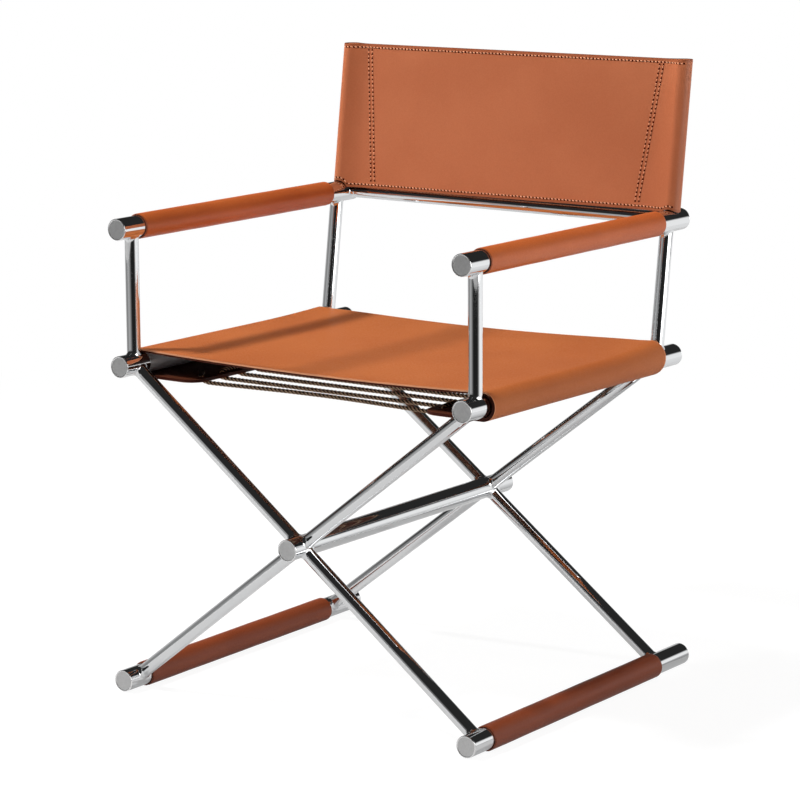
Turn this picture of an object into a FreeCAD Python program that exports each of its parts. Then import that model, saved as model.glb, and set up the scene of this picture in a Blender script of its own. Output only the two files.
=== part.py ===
import FreeCAD, Part
import math
import os
import Sketcher

# Director-style armchair of polished steel tube and saddle leather.
# Millimetres: -Y is the front, +Z is up, and +X is the right-hand side for someone who faces the chair.
# The origin lies on the floor, under the middle of the whole chair.

SIZES = [
    ("rail_diameter", 30.0, "outside of the seven large tubes"),
    ("rail_wall", 1.5, "wall of the large tubes"),
    ("rail_rim", 0.8, "bevel on the outer edge of a large tube's end"),
    ("post_diameter", 19.0, "outside of the slim tubes"),
    ("post_wall", 1.5, "wall of the slim tubes"),
    ("weld_reach", 3.0, "polished weld round the end of a slim tube, kept clear by the leather"),
    ("rail_spacing", 560.0, "between the two arm tubes, and between the two seat rails"),
    ("floor_spacing", 570.0, "between the two floor rails"),
    ("arm_length", 548.0, "arm tube"),
    ("seat_rail_length", 530.0, "seat rail"),
    ("floor_length", 548.0, "floor rail"),
    ("stretcher_length", 530.0, "centre stretcher"),
    ("arm_height", 649.0, "axis of an arm tube at its front end"),
    ("seat_height", 460.0, "axis of a seat rail at its front end"),
    ("rail_fall", 0.94, "degrees by which arm tubes and seat rails fall to the back"),
    ("depth_centre", 8.65, "from the middle of the arm tubes back to the middle of the whole chair"),
    ("leg_setback", 32.0, "from the front faces to the front legs and posts"),
    ("leg_frame_spacing", 452.0, "from the front legs to the rear legs"),
    ("back_lean", 8.4, "degrees by which rear posts and back posts lean back"),
    ("back_post_setback", 26.0, "from the rear end of an arm tube to the back post"),
    ("post_top", 4.0, "closed top of a back post"),
    ("crossbar_setback", 14.0, "from the rear end of an arm tube to the crossbar"),
    ("cap_depth", 6.0, "thickness of the discs pressed into the tubes' ends"),
    ("fit_clearance", 0.15, "radial gap of caps and sleeves on their tubes"),
    ("sleeve_leather", 2.2, "leather of arm and floor sleeves"),
    ("sleeve_gap", 0.5, "from a weld to the end of a sleeve or of the seat"),
    ("arm_sleeve_length", 436.0, "leather on an arm tube"),
    ("rest_flat", 0.5, "depth to which a floor sleeve is pressed flat by the floor"),
    ("seat_leather", 3.6, "hide of the seat"),
    ("seat_sag", 7.0, "dip of the seat's middle below the rail tops"),
    ("wrap_clearance", 0.3, "from a seat rail to the hide above and below it"),
    ("wrap_swing", 5.0, "how far the stiff hide stands off the rail's outer side"),
    ("flap_reach", 96.0, "from a seat rail's axis to the edge of its flap"),
    ("flap_corner", 25.0, "rounded corners of a flap"),
    ("lace_width", 4.4, "sides of the square cord under the seat"),
    ("lace_pitch", 40.0, "between two runs of the cord"),
    ("lace_runs", 10, "runs of the cord, a count"),
    ("lace_front", 31.0, "from the seat's front edge to the first run"),
    ("lace_edge", 14.0, "from a flap's edge to its slots"),
    ("lace_slot", 7.0, "sides of the square slots in the flaps"),
    ("lace_clearance", 0.3, "from the cord to a flap's faces"),
    ("lace_knot", 11.0, "across the stopper knots at the two ends of the cord"),
    ("back_height", 199.0, "back sling, straight up"),
    ("back_leather", 2.0, "one layer of the back sling"),
    ("back_gap", 0.9, "from the tops of the arm tubes to the back sling"),
    ("pocket_clearance", 0.4, "from a back post to its pocket"),
    ("pocket_top", 45.0, "outer edge to seam, at the top"),
    ("pocket_bottom", 69.0, "outer edge to seam, at the bottom"),
    ("pocket_close", 4.0, "closed top of a pocket"),
]

doc = FreeCAD.newDocument("director_armchair")
sheet = doc.addObject("Spreadsheet::Sheet", "Sizes")
for row, (alias, number, note) in enumerate(SIZES, start=1):
    sheet.set(f"A{row}", note)
    sheet.set(f"B{row}", str(number))
    sheet.setAlias(f"B{row}", alias)
doc.recompute()

subparts = []


def value(expression):
    """Number that an expression over the sheet's sizes has now."""
    result = sheet.evalExpression(expression)
    return float(getattr(result, "Value", result))


# Derived sizes, written as expressions over the sheet so that every object stays tied to it.
RAIL_R = "(Sizes.rail_diameter / 2)"
BORE_R = f"({RAIL_R} - Sizes.rail_wall)"
POST_R = "(Sizes.post_diameter / 2)"
POST_BORE_R = f"({POST_R} - Sizes.post_wall)"
SLEEVE_R = f"({RAIL_R} + Sizes.fit_clearance + Sizes.sleeve_leather)"
HALF_RAILS = "(Sizes.rail_spacing / 2)"
HALF_FLOOR = "(Sizes.floor_spacing / 2)"
FRONT = "(-Sizes.arm_length / 2 - Sizes.depth_centre)"
LEG_FRONT = f"({FRONT} + Sizes.leg_setback)"
LEG_REAR = f"({LEG_FRONT} + Sizes.leg_frame_spacing)"
FLOOR_Z = f"({SLEEVE_R} - Sizes.rest_flat)"
COVER_MARGIN = f"({POST_R} + Sizes.weld_reach + Sizes.sleeve_gap)"
COVER_START = f"(Sizes.leg_setback + {COVER_MARGIN})"
COVER_LENGTH = f"(Sizes.leg_frame_spacing - 2 * {COVER_MARGIN})"


def seat_z(y):
    """Height of a seat rail's axis at depth y."""
    return f"(Sizes.seat_height - ({y} - {FRONT}) * tan(Sizes.rail_fall))"


def arm_z(y):
    """Height of an arm tube's axis at depth y."""
    return f"(Sizes.arm_height - ({y} - {FRONT}) * tan(Sizes.rail_fall))"


def crossing_z(y):
    """Height at which the two straight legs of an X cross over the middle of the chair."""
    share = f"({HALF_RAILS} / ({HALF_RAILS} + {HALF_FLOOR}))"
    return f"({seat_z(y)} - ({seat_z(y)} - {FLOOR_Z}) * {share})"


STRETCHER_FALL = f"(({crossing_z(LEG_FRONT)} - {crossing_z(LEG_REAR)}) / Sizes.leg_frame_spacing)"
STRETCHER_Z = f"({crossing_z(LEG_FRONT)} + Sizes.leg_setback * {STRETCHER_FALL})"


X_AXIS, Y_AXIS, Z_AXIS = "1; 0; 0", "0; 1; 0", "0; 0; 1"


def about(axis, angle):
    """Turn about one axis."""
    return f"create(<<rotation>>; create(<<vector>>; {axis}); {angle})"


def turned(yaw, pitch, roll):
    """Turn by roll about X, then pitch about Y, then yaw about Z."""
    return f"create(<<rotation>>; {yaw}; {pitch}; {roll})"


def place(thing, base, turn):
    """Tie an object's Placement to the sheet: a base point and a turn."""
    point = "; ".join(base)
    thing.setExpression("Placement", f"create(<<placement>>; create(<<vector>>; {point}); {turn})")


def cylinder(name, radius, height, base, turn):
    rod = doc.addObject("Part::Cylinder", name)
    rod.setExpression("Radius", radius)
    rod.setExpression("Height", height)
    place(rod, base, turn)
    return rod


def cut(name, base, tool):
    result = doc.addObject("Part::Cut", name)
    result.Base = base
    result.Tool = tool
    result.Refine = False
    return result


def finish(thing, label):
    """Give a finished sub-part its Label and keep it for the export."""
    thing.Label = label
    subparts.append(thing)
    return thing


# Outlines for sketches

def outline(sketch, corners):
    """Closed outline through corners (x, y, bulge) given as expressions; every corner is dimensioned.

    bulge says how the outline goes on to the next corner: None is a straight line, else
    (radius, centre x, centre y) is an arc round that centre, with its radius dimensioned too.
    """
    count = len(corners)
    first = sketch.GeometryCount
    spots = [FreeCAD.Vector(value(x), value(y), 0) for x, y, bulge in corners]
    for index, (x, y, bulge) in enumerate(corners):
        start = spots[index]
        end = spots[(index + 1) % count]
        if bulge is None:
            sketch.addGeometry(Part.LineSegment(start, end), False)
        else:
            sketch.addGeometry(arc_between(start, end, bulge), False)
    ends = [end_numbers(sketch.Geometry[first + index], spots[index]) for index in range(count)]
    for index in range(count):
        here, after = first + index, first + (index + 1) % count
        leaving, arriving = ends[index][1], ends[(index + 1) % count][0]
        sketch.addConstraint(Sketcher.Constraint("Coincident", here, leaving, after, arriving))
    for index, (x, y, bulge) in enumerate(corners):
        here = first + index
        pin(sketch, "DistanceX", here, ends[index][0], spots[index].x, x)
        pin(sketch, "DistanceY", here, ends[index][0], spots[index].y, y)
        if bulge is not None:
            number = sketch.addConstraint(Sketcher.Constraint("Radius", here, value(bulge[0])))
            sketch.setExpression(f"Constraints[{number}]", bulge[0])


def arc_between(start, end, bulge):
    """Shorter arc from start to end round the bulge's centre."""
    radius = value(bulge[0])
    centre = FreeCAD.Vector(value(bulge[1]), value(bulge[2]), 0)
    first = math.atan2(start.y - centre.y, start.x - centre.x)
    last = math.atan2(end.y - centre.y, end.x - centre.x)
    turn = (last - first) % (2 * math.pi)
    circle = Part.Circle(centre, FreeCAD.Vector(0, 0, 1), radius)
    if turn <= math.pi + 0.2:
        return Part.ArcOfCircle(circle, first, first + turn)
    return Part.ArcOfCircle(circle, last, last + 2 * math.pi - turn)


def end_numbers(piece, start):
    """Sketcher's numbers for a piece's own start and end, in the direction of the outline."""
    if (piece.StartPoint - start).Length < (piece.EndPoint - start).Length:
        return 1, 2
    return 2, 1


def pin(sketch, kind, index, end, number, expression):
    """Dimension one corner from the sketch's origin; a corner on an axis is put on that axis."""
    if abs(number) < 1e-9:
        axis = -2 if kind == "DistanceX" else -1
        sketch.addConstraint(Sketcher.Constraint("PointOnObject", index, end, axis))
        return
    constraint = sketch.addConstraint(Sketcher.Constraint(kind, -1, 1, index, end, number))
    sketch.setExpression(f"Constraints[{constraint}]", expression)


def new_sketch(body, name, role):
    sketch = body.newObject("Sketcher::SketchObject", name)
    plane = next(feature for feature in body.Origin.OriginFeatures if feature.Role == role)
    sketch.AttachmentSupport = [(plane, "")]
    sketch.MapMode = "FlatFace"
    return sketch


def pad(body, sketch, length):
    feature = body.newObject("PartDesign::Pad", sketch.Name + "_pad")
    feature.Profile = sketch
    feature.setExpression("Length", length)
    body.Tip = feature
    return feature


# Large tubes, each with its two end caps

LEFT, MIDDLE, RIGHT = -1, 0, 1
SIDES = ((LEFT, "left"), (RIGHT, "right"))
outer_rods = {}


def lying(side, fall):
    """Turn that lays an upright tube along +Y, falling to the back, its seam away from the slim tubes."""
    turns = {
        LEFT: turned("180", "0", f"(90 + {fall})"),
        MIDDLE: turned("90", f"-(90 - {fall})", "180"),
        RIGHT: turned("0", "0", f"-(90 + {fall})"),
    }
    return turns[side]


def along(x, z, fall, reach):
    """Point on the axis of a large tube, at a reach behind its front end."""
    return x, f"({FRONT} + {reach} * cos({fall}))", f"({z} - {reach} * sin({fall}))"


def rail(label, side, x, z, length, fall):
    """Large tube from its front end at depth FRONT, bored through and bevelled at both ends."""
    base, turn = along(x, z, fall, "0"), lying(side, fall)
    outer = cylinder(label + "_outer", RAIL_R, length, base, turn)
    bore = cylinder(label + "_bore", BORE_R, length, base, turn)
    doc.recompute()
    outer_rods[label] = outer
    bevel = doc.addObject("Part::Chamfer", label + "_bevel")
    bevel.Base = outer
    rim = value("Sizes.rail_rim")
    edges = enumerate(outer.Shape.Edges, start=1)
    bevel.Edges = [(number, rim, rim) for number, edge in edges if edge.Curve.TypeId == "Part::GeomCircle"]
    finish(cut(label, bevel, bore), label)
    rear = f"({length} - Sizes.cap_depth)"
    end_caps(label + "_end_caps", [along(x, z, fall, reach) for reach in ("0", rear)], turn)


def end_caps(label, spots, turn):
    """Flat discs pressed into a large tube, flush with its two ends."""
    radius = f"({BORE_R} - Sizes.fit_clearance)"
    pair = doc.addObject("Part::Compound", label)
    names = (label + "_front", label + "_rear")
    pair.Links = [cylinder(name, radius, "Sizes.cap_depth", spot, turn) for name, spot in zip(names, spots)]
    finish(pair, label)


stretcher_angle = f"(atan({STRETCHER_FALL}) / 1deg)"
for side, name in SIDES:
    x = f"({side} * {HALF_RAILS})"
    rail(f"arm_tube_{name}", side, x, "Sizes.arm_height", "Sizes.arm_length", "Sizes.rail_fall")
    rail(f"seat_rail_{name}", side, x, "Sizes.seat_height", "Sizes.seat_rail_length", "Sizes.rail_fall")
    rail(f"floor_rail_{name}", side, f"({side} * {HALF_FLOOR})", FLOOR_Z, "Sizes.floor_length", "0")
rail("centre_stretcher", MIDDLE, "0", STRETCHER_Z, "Sizes.stretcher_length", stretcher_angle)


# Slim tubes, welded to the large ones

def member(label, base, turn, length, hosts, bored=None, trim=None):
    """Slim tube from axis to axis of its hosts, coped at its ends so that it seats on their round sides.

    bored is the depth of its bore, where that stops short of the far end; trim is a block cut off it.
    """
    piece = cylinder(label + "_rod", POST_R, length, base, turn)
    if trim:
        piece = cut(f"{label}_mitred", piece, trim)
    for host in hosts:
        piece = cut(f"{label}_off_{host}", piece, outer_rods[host])
    bore = cylinder(label + "_bore", POST_BORE_R, bored or length, base, turn)
    finish(cut(label, piece, bore), label)


def mitre(label, y, foot):
    """Block beyond the level plane through a crossing, which a lower and an upper half leg keep to."""
    block = doc.addObject("Part::Box", label + "_mitre")
    block.setExpression("Length", "4 * Sizes.rail_diameter")
    block.setExpression("Width", "2 * Sizes.post_diameter")
    block.setExpression("Height", "Sizes.rail_diameter")
    drop = "0" if foot else "Sizes.rail_diameter"
    place(block, ("(-2 * Sizes.rail_diameter)", f"({y} - Sizes.post_diameter)", f"({crossing_z(y)} - {drop})"),
          about(Z_AXIS, "0"))
    return block


def half_leg(label, y, side, foot):
    """Half of a straight leg, from the stretcher out to a seat rail or a floor rail, mitred at the crossing."""
    reach = HALF_FLOOR if foot else HALF_RAILS
    rise = f"({FLOOR_Z} - {crossing_z(y)})" if foot else f"({seat_z(y)} - {crossing_z(y)})"
    host = ("floor_rail_" if foot else "seat_rail_") + dict(SIDES)[side]
    yaw = "180" if side == LEFT else "0"
    member(label, ("0", y, crossing_z(y)), turned(yaw, f"atan2({reach}; {rise})", "0"),
           f"sqrt({reach}^2 + {rise}^2)", ["centre_stretcher", host], trim=mitre(label, y, foot))


for y, end in ((LEG_FRONT, "front"), (LEG_REAR, "rear")):
    for side, name in SIDES:
        half_leg(f"{end}_leg_upper_{name}", y, side, False)
        half_leg(f"{end}_leg_lower_{name}", y, side, True)

BACK_FOOT = f"({FRONT} + Sizes.arm_length * cos(Sizes.rail_fall) - Sizes.back_post_setback)"
CROSSBAR_Y = f"({FRONT} + Sizes.arm_length * cos(Sizes.rail_fall) - Sizes.crossbar_setback)"
REAR_POST_LENGTH = (f"(({arm_z(LEG_REAR)} - {seat_z(LEG_REAR)})"
                    " / (cos(Sizes.back_lean) + sin(Sizes.back_lean) * tan(Sizes.rail_fall)))")

# The back sling's bottom edge lies along the arm tubes, so the back posts lean less in its frame.
SLING_LEAN = "(Sizes.back_lean - Sizes.rail_fall)"
BACK_BASE = f"({RAIL_R} + Sizes.back_gap)"
POCKET_ROOF = f"({BACK_BASE} + Sizes.back_height - Sizes.pocket_close)"
BACK_POST_LENGTH = (f"(({POCKET_ROOF} - Sizes.pocket_clearance - {POST_R} * sin({SLING_LEAN}))"
                    f" / cos({SLING_LEAN}))")
UNDER_TOP = f"({BACK_POST_LENGTH} - Sizes.post_top)"
leaning = about(X_AXIS, "-Sizes.back_lean")


def up_back_post(x, reach):
    """Point on a back post's axis, at a reach from the arm tube's axis."""
    y = f"({BACK_FOOT} + {reach} * sin(Sizes.back_lean))"
    return x, y, f"({arm_z(BACK_FOOT)} + {reach} * cos(Sizes.back_lean))"


for side, name in SIDES:
    x = f"({side} * {HALF_RAILS})"
    arm, seat = f"arm_tube_{name}", f"seat_rail_{name}"
    member(f"front_post_{name}", (x, LEG_FRONT, seat_z(LEG_FRONT)), about(X_AXIS, "0"),
           f"({arm_z(LEG_FRONT)} - {seat_z(LEG_FRONT)})", [seat, arm])
    member(f"rear_post_{name}", (x, LEG_REAR, seat_z(LEG_REAR)), leaning, REAR_POST_LENGTH, [seat, arm])
    member(f"back_post_{name}", up_back_post(x, "0"), leaning, BACK_POST_LENGTH, [arm], UNDER_TOP)
member("rear_crossbar", (f"(-{HALF_RAILS})", CROSSBAR_Y, arm_z(CROSSBAR_Y)), about(Y_AXIS, "90"),
       "Sizes.rail_spacing", ["arm_tube_left", "arm_tube_right"])


# Leather sleeves

def ring_sketch(body, label, flat):
    """Ring section of a sleeve; a floor sleeve's outer circle is cut by a chord where it rests."""
    sketch = new_sketch(body, label + "_profile", "XY_Plane")
    origin = FreeCAD.Vector(0, 0, 0)
    up = FreeCAD.Vector(0, 0, 1)
    inner = f"({RAIL_R} + Sizes.fit_clearance)"
    if flat:
        half_flat = f"sqrt({SLEEVE_R}^2 - {FLOOR_Z}^2)"
        outline(sketch, [
            (f"-{half_flat}", FLOOR_Z, None),
            (half_flat, FLOOR_Z, (SLEEVE_R, "0", "0")),
            ("0", f"-{SLEEVE_R}", (SLEEVE_R, "0", "0")),
        ])
    else:
        sketch.addGeometry(Part.Circle(origin, up, value(SLEEVE_R)), False)
        centre_circle(sketch, 0, SLEEVE_R)
    number = len(sketch.Geometry)
    sketch.addGeometry(Part.Circle(origin, up, value(inner)), False)
    centre_circle(sketch, number, inner)
    return sketch


def centre_circle(sketch, number, radius):
    sketch.addConstraint(Sketcher.Constraint("Coincident", number, 3, -1, 1))
    constraint = sketch.addConstraint(Sketcher.Constraint("Radius", number, value(radius)))
    sketch.setExpression(f"Constraints[{constraint}]", radius)


def sleeve(label, x, z, length, fall, flat):
    """Leather round the middle of a large tube, from just behind the front post or leg."""
    body = doc.addObject("PartDesign::Body", label)
    pad(body, ring_sketch(body, label, flat), length)
    place(body, along(x, z, fall, COVER_START), about(X_AXIS, f"-(90 + {fall})"))
    finish(body, label)


for side, name in SIDES:
    sleeve(f"arm_sleeve_{name}", f"({side} * {HALF_RAILS})", "Sizes.arm_height", "Sizes.arm_sleeve_length",
           "Sizes.rail_fall", False)
    sleeve(f"floor_sleeve_{name}", f"({side} * {HALF_FLOOR})", FLOOR_Z, COVER_LENGTH, "0", True)


# Seat sling: one hide over both seat rails, with its two flaps underneath.
# Its own frame: x across, y up from the seat rails' axes, z forward from the rear edge.

WRAP_X = f"({HALF_RAILS} + Sizes.wrap_swing)"
WRAP_R = f"({RAIL_R} + Sizes.wrap_clearance + Sizes.seat_leather)"
LINING_R = f"({WRAP_R} - Sizes.seat_leather)"
SAG_R = f"(({WRAP_X}^2 - 2 * {WRAP_R} * Sizes.seat_sag + Sizes.seat_sag^2) / (2 * Sizes.seat_sag))"
SAG_Y = f"({WRAP_R} - Sizes.seat_sag + {SAG_R})"
UNDER_SAG_R = f"({SAG_R} + Sizes.seat_leather)"
CENTRES = f"({SAG_R} + {WRAP_R})"
FLAP_X = f"({HALF_RAILS} - Sizes.flap_reach)"
SEAT_REAR = f"({COVER_START} + {COVER_LENGTH})"


def seat_place(thing):
    base = along("0", "Sizes.seat_height", "Sizes.rail_fall", SEAT_REAR)
    place(thing, base, about(X_AXIS, "(90 - Sizes.rail_fall)"))


def touch(side, radius):
    """Point where the sagging arc runs into the arc over a rail, at a distance from the rail arc's centre."""
    return (f"({side} * ({WRAP_X} - {radius} * {WRAP_X} / {CENTRES}))", f"({radius} * {SAG_Y} / {CENTRES})")


def seat_corners():
    """Section of the hide: round the right rail, out and back along its flap, then the same on the left."""
    sag, under = (SAG_R, "0", SAG_Y), (UNDER_SAG_R, "0", SAG_Y)
    over = {side: (WRAP_R, f"({side} * {WRAP_X})", "0") for side in (LEFT, RIGHT)}
    inside = {side: (LINING_R, f"({side} * {WRAP_X})", "0") for side in (LEFT, RIGHT)}

    def wrap_corners(side, radius, bulge, last):
        return [
            (*touch(side, radius), bulge),
            (f"({side} * ({WRAP_X} + {radius}))", "0", bulge),
            (f"({side} * {WRAP_X})", f"(-{radius})", last),
        ]

    flap = {side: f"({side} * {FLAP_X})" for side in (LEFT, RIGHT)}
    right_out = wrap_corners(RIGHT, WRAP_R, over[RIGHT], None)
    right_flap = [(flap[RIGHT], f"(-{WRAP_R})", None), (flap[RIGHT], f"(-{LINING_R})", None)]
    right_in = turn_back(RIGHT, inside[RIGHT], under)
    left_in = wrap_corners(LEFT, LINING_R, inside[LEFT], None)
    left_flap = [(flap[LEFT], f"(-{LINING_R})", None), (flap[LEFT], f"(-{WRAP_R})", None)]
    left_out = turn_back(LEFT, over[LEFT], sag, WRAP_R)
    return right_out + right_flap + right_in + left_in + left_flap + left_out


def turn_back(side, bulge, after, radius=LINING_R):
    """The wrap's corners in the other direction, from under the rail to the top."""
    return [
        (f"({side} * {WRAP_X})", f"(-{radius})", bulge),
        (f"({side} * ({WRAP_X} + {radius}))", "0", bulge),
        (*touch(side, radius), after),
    ]


SLOT_X = f"({FLAP_X} + Sizes.lace_edge)"
SLOT_FIRST_Z = f"({COVER_LENGTH} - Sizes.lace_front)"


def slot_corners(side):
    """First slot of a row; its sketch lies in the plane of the rails, with y to the front."""
    half = "(Sizes.lace_slot / 2)"
    centre = f"({side} * {SLOT_X})"
    ways = ((-1, -1), (1, -1), (1, 1), (-1, 1))
    return [(f"({centre} + {i} * {half})", f"({SLOT_FIRST_Z} + {j} * {half})", None) for i, j in ways]


def flap_corners(shape):
    """Names of the short upright edges at the flaps' four corners."""
    edge_x = value(FLAP_X)
    names = []
    for number, edge in enumerate(shape.Edges, start=1):
        ends = [vertex.Point for vertex in edge.Vertexes]
        level = abs(ends[0].z - ends[-1].z) < 1e-6
        if level and all(abs(abs(end.x) - edge_x) < 1e-6 for end in ends):
            names.append(f"Edge{number}")
    return names


def seat_sling(label):
    body = doc.addObject("PartDesign::Body", label)
    section = new_sketch(body, label + "_section", "XY_Plane")
    outline(section, seat_corners())
    hide = pad(body, section, COVER_LENGTH)
    doc.recompute()
    rounded = body.newObject("PartDesign::Fillet", label + "_flap_corners")
    rounded.Base = (hide, flap_corners(hide.Shape))
    rounded.setExpression("Radius", "Sizes.flap_corner")
    body.Tip = rounded
    slots = new_sketch(body, label + "_slots", "XZ_Plane")
    for side, name in SIDES:
        outline(slots, slot_corners(side))
    punched = body.newObject("PartDesign::Pocket", label + "_punched")
    punched.Profile = slots
    punched.setExpression("Length", f"2 * {WRAP_R}")
    punched.Reversed = True
    body.Tip = punched
    doc.recompute()
    row = body.newObject("PartDesign::LinearPattern", label + "_slot_row")
    row.Originals = [punched]
    row.Direction = (slots, ["V_Axis"])
    row.Reversed = True
    row.setExpression("Length", "(Sizes.lace_runs - 1) * Sizes.lace_pitch")
    row.setExpression("Occurrences", "Sizes.lace_runs")
    body.Tip = row
    seat_place(body)
    finish(body, label)


seat_sling("seat_sling")


# Seat lace: one cord that runs to and fro below the flaps and steps from slot to slot above them

def arc_edge(start, middle, end):
    return Part.Arc(start, middle, end).toShape()


def lace_path():
    """Route of the cord in the seat's frame: straight runs joined by quarter turns."""
    half = value("Sizes.lace_width / 2")
    gap = value("Sizes.lace_clearance")
    run_y = -value(WRAP_R) - gap - half
    step_y = -value(LINING_R) + gap + half
    bend = (step_y - run_y) / 2
    slot_y = run_y + bend
    slot_x = value(SLOT_X)
    knot_y = -value(LINING_R) + gap
    first_z = value(SLOT_FIRST_Z)
    pitch = value("Sizes.lace_pitch")
    runs = int(value("Sizes.lace_runs"))
    eased = bend * (1 - math.sqrt(0.5))
    spot = FreeCAD.Vector
    edges = [Part.makeLine(spot(-slot_x, knot_y, first_z), spot(-slot_x, slot_y, first_z))]
    for run in range(runs):
        side = LEFT if run % 2 == 0 else RIGHT
        near, far = side * slot_x, -side * slot_x
        z = first_z - run * pitch
        near_turn, far_turn = spot(near - side * bend, run_y, z), spot(far + side * bend, run_y, z)
        edges.append(arc_edge(spot(near, slot_y, z), spot(near - side * eased, run_y + eased, z), near_turn))
        edges.append(Part.makeLine(near_turn, far_turn))
        edges.append(arc_edge(far_turn, spot(far + side * eased, run_y + eased, z), spot(far, slot_y, z)))
        if run == runs - 1:
            edges.append(Part.makeLine(spot(far, slot_y, z), spot(far, knot_y, z)))
            break
        rise, dip = spot(far, step_y, z - bend), spot(far, step_y, z - pitch + bend)
        edges.append(arc_edge(spot(far, slot_y, z), spot(far, step_y - eased, z - eased), rise))
        edges.append(Part.makeLine(rise, dip))
        after = z - pitch
        edges.append(arc_edge(dip, spot(far, step_y - eased, after + eased), spot(far, slot_y, after)))
    return Part.Wire(edges)


def least_gap(path, width):
    """Least air between lengths of the cord that lie more than a few widths apart along it."""
    step = width / 2
    points = path.discretize(Distance=step)
    apart = int(4 * width / step)
    least = min((a - b).Length for i, a in enumerate(points) for b in points[i + apart:])
    return least - width


def seat_lace(label):
    path = lace_path()
    width = value("Sizes.lace_width")
    half = width / 2
    start, end = path.OrderedVertexes[0].Point, path.OrderedVertexes[-1].Point
    ways = ((-1, -1), (1, -1), (1, 1), (-1, 1), (-1, -1))
    section = Part.makePolygon([start + FreeCAD.Vector(i * half, 0, j * half) for i, j in ways])
    cord = path.makePipeShell([section], True, False)
    print("lace length", round(path.Length, 1), "volume share of section times length",
          round(cord.Volume / (width ** 2 * path.Length), 4),
          "least gap to itself", round(least_gap(path, width), 2))
    knot = value("Sizes.lace_knot")
    knots = [Part.makeCylinder(knot / 2, 0.8 * knot, spot, FreeCAD.Vector(0, 1, 0)) for spot in (start, end)]
    lace = doc.addObject("Part::Feature", label)
    lace.Shape = cord.fuse(knots)
    seat_place(lace)
    finish(lace, label)


seat_lace("seat_lace")


# Back sling: two sewn layers with a pocket for each back post.
# Its own frame: x across, y back, z up from the bottom edge, which lies along the arm tubes.

POCKET_R = f"({POST_R} + Sizes.pocket_clearance)"
EDGE_R = f"({POCKET_R} + Sizes.back_leather)"


def tangent_corner(side, point_x, point_y, radius, back):
    """Point where the straight from a corner touches the circle round a post, in front where back is -1."""
    across = f"({HALF_RAILS} - {point_x})"
    reach = f"sqrt({across}^2 + {point_y}^2)"
    angle = f"(atan2({point_y}; {across}) + {back} * acos({radius} / {reach}))"
    return f"({side} * ({HALF_RAILS} - {radius} * cos({angle})))", f"({radius} * sin({angle}))"


def panel_corners(pocket):
    """Section of the whole sling: flat in the middle, swelling round each post; pocket is its width."""
    seam = f"({HALF_RAILS} + {EDGE_R} - {pocket})"
    thick = "Sizes.back_leather"
    corners = []
    for side, first, last in ((RIGHT, LEFT, RIGHT), (LEFT, RIGHT, LEFT)):
        post = f"({side} * {HALF_RAILS})"
        round_post = (EDGE_R, post, "0")
        corners.append((f"({side} * {seam})", f"({first} * {thick})", None))
        corners.append((*tangent_corner(side, seam, f"({first} * {thick})", EDGE_R, first), round_post))
        corners.append((f"({side} * ({HALF_RAILS} + {EDGE_R}))", "0", round_post))
        corners.append((*tangent_corner(side, seam, f"({last} * {thick})", EDGE_R, last), None))
        corners.append((f"({side} * {seam})", f"({last} * {thick})", None))
    return corners


def pocket_corners(side, pocket):
    """Section of a pocket's hollow: from a point just outside the seam to the round of the post."""
    apex = f"({HALF_RAILS} + {EDGE_R} - {pocket} + 2 * Sizes.back_leather)"
    round_post = (POCKET_R, f"({side} * {HALF_RAILS})", "0")
    return [
        (f"({side} * {apex})", "0", None),
        (*tangent_corner(side, apex, "0", POCKET_R, -1), round_post),
        (f"({side} * ({HALF_RAILS} + {POCKET_R}))", "0", round_post),
        (*tangent_corner(side, apex, "0", POCKET_R, 1), None),
    ]


def level_sketch(body, name, corners, height):
    """Outline at a height in the sling's frame, moved back with the lean."""
    sketch = new_sketch(body, name, "XY_Plane")
    outline(sketch, corners)
    spot = f"create(<<vector>>; 0; {height} * tan({SLING_LEAN}); {height})"
    sketch.setExpression("AttachmentOffset", f"create(<<placement>>; {spot}; {about(Z_AXIS, '0')})")
    return sketch


def share_of(height):
    """Pocket width at a height between the bottom and the top of the sling."""
    narrowing = "(Sizes.pocket_bottom - Sizes.pocket_top)"
    return f"(Sizes.pocket_bottom - {narrowing} * {height} / Sizes.back_height)"


def back_sling(label):
    body = doc.addObject("PartDesign::Body", label)
    bottom = level_sketch(body, label + "_bottom", panel_corners("Sizes.pocket_bottom"), "0")
    top = level_sketch(body, label + "_top", panel_corners("Sizes.pocket_top"), "Sizes.back_height")
    panel = body.newObject("PartDesign::AdditiveLoft", label + "_panel")
    panel.Profile = bottom
    panel.Sections = [top]
    panel.Ruled = True
    body.Tip = panel
    doc.recompute()
    ceiling = "(Sizes.back_height - Sizes.pocket_close)"
    below = "(-1)"
    for side, name in SIDES:
        mouth = level_sketch(body, f"{label}_mouth_{name}", pocket_corners(side, share_of(below)), below)
        roof = level_sketch(body, f"{label}_roof_{name}", pocket_corners(side, share_of(ceiling)), ceiling)
        hollow = body.newObject("PartDesign::SubtractiveLoft", f"{label}_pocket_{name}")
        hollow.Profile = mouth
        hollow.Sections = [roof]
        hollow.Ruled = True
        body.Tip = hollow
        doc.recompute()
    foot = up_back_post("0", f"({BACK_BASE} / cos({SLING_LEAN}))")
    place(body, foot, about(X_AXIS, "-Sizes.rail_fall"))
    finish(body, label)


back_sling("back_sling")


# Checks and export

doc.recompute()
faults = []
for thing in doc.Objects:
    if "Invalid" in thing.State or "Error" in thing.State:
        faults.append(f"{thing.Label}: {thing.State}")
for thing in subparts:
    if thing.Shape.isNull() or not thing.Shape.isValid() or not thing.Shape.Solids:
        faults.append(f"{thing.Label}: shape is not a valid solid")
if faults:
    raise RuntimeError("; ".join(faults))

os.makedirs("parts", exist_ok=True)
for thing in subparts:
    thing.Shape.exportStep(os.path.join("parts", thing.Label + ".step"))
print(len(subparts), "sub-parts")
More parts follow.
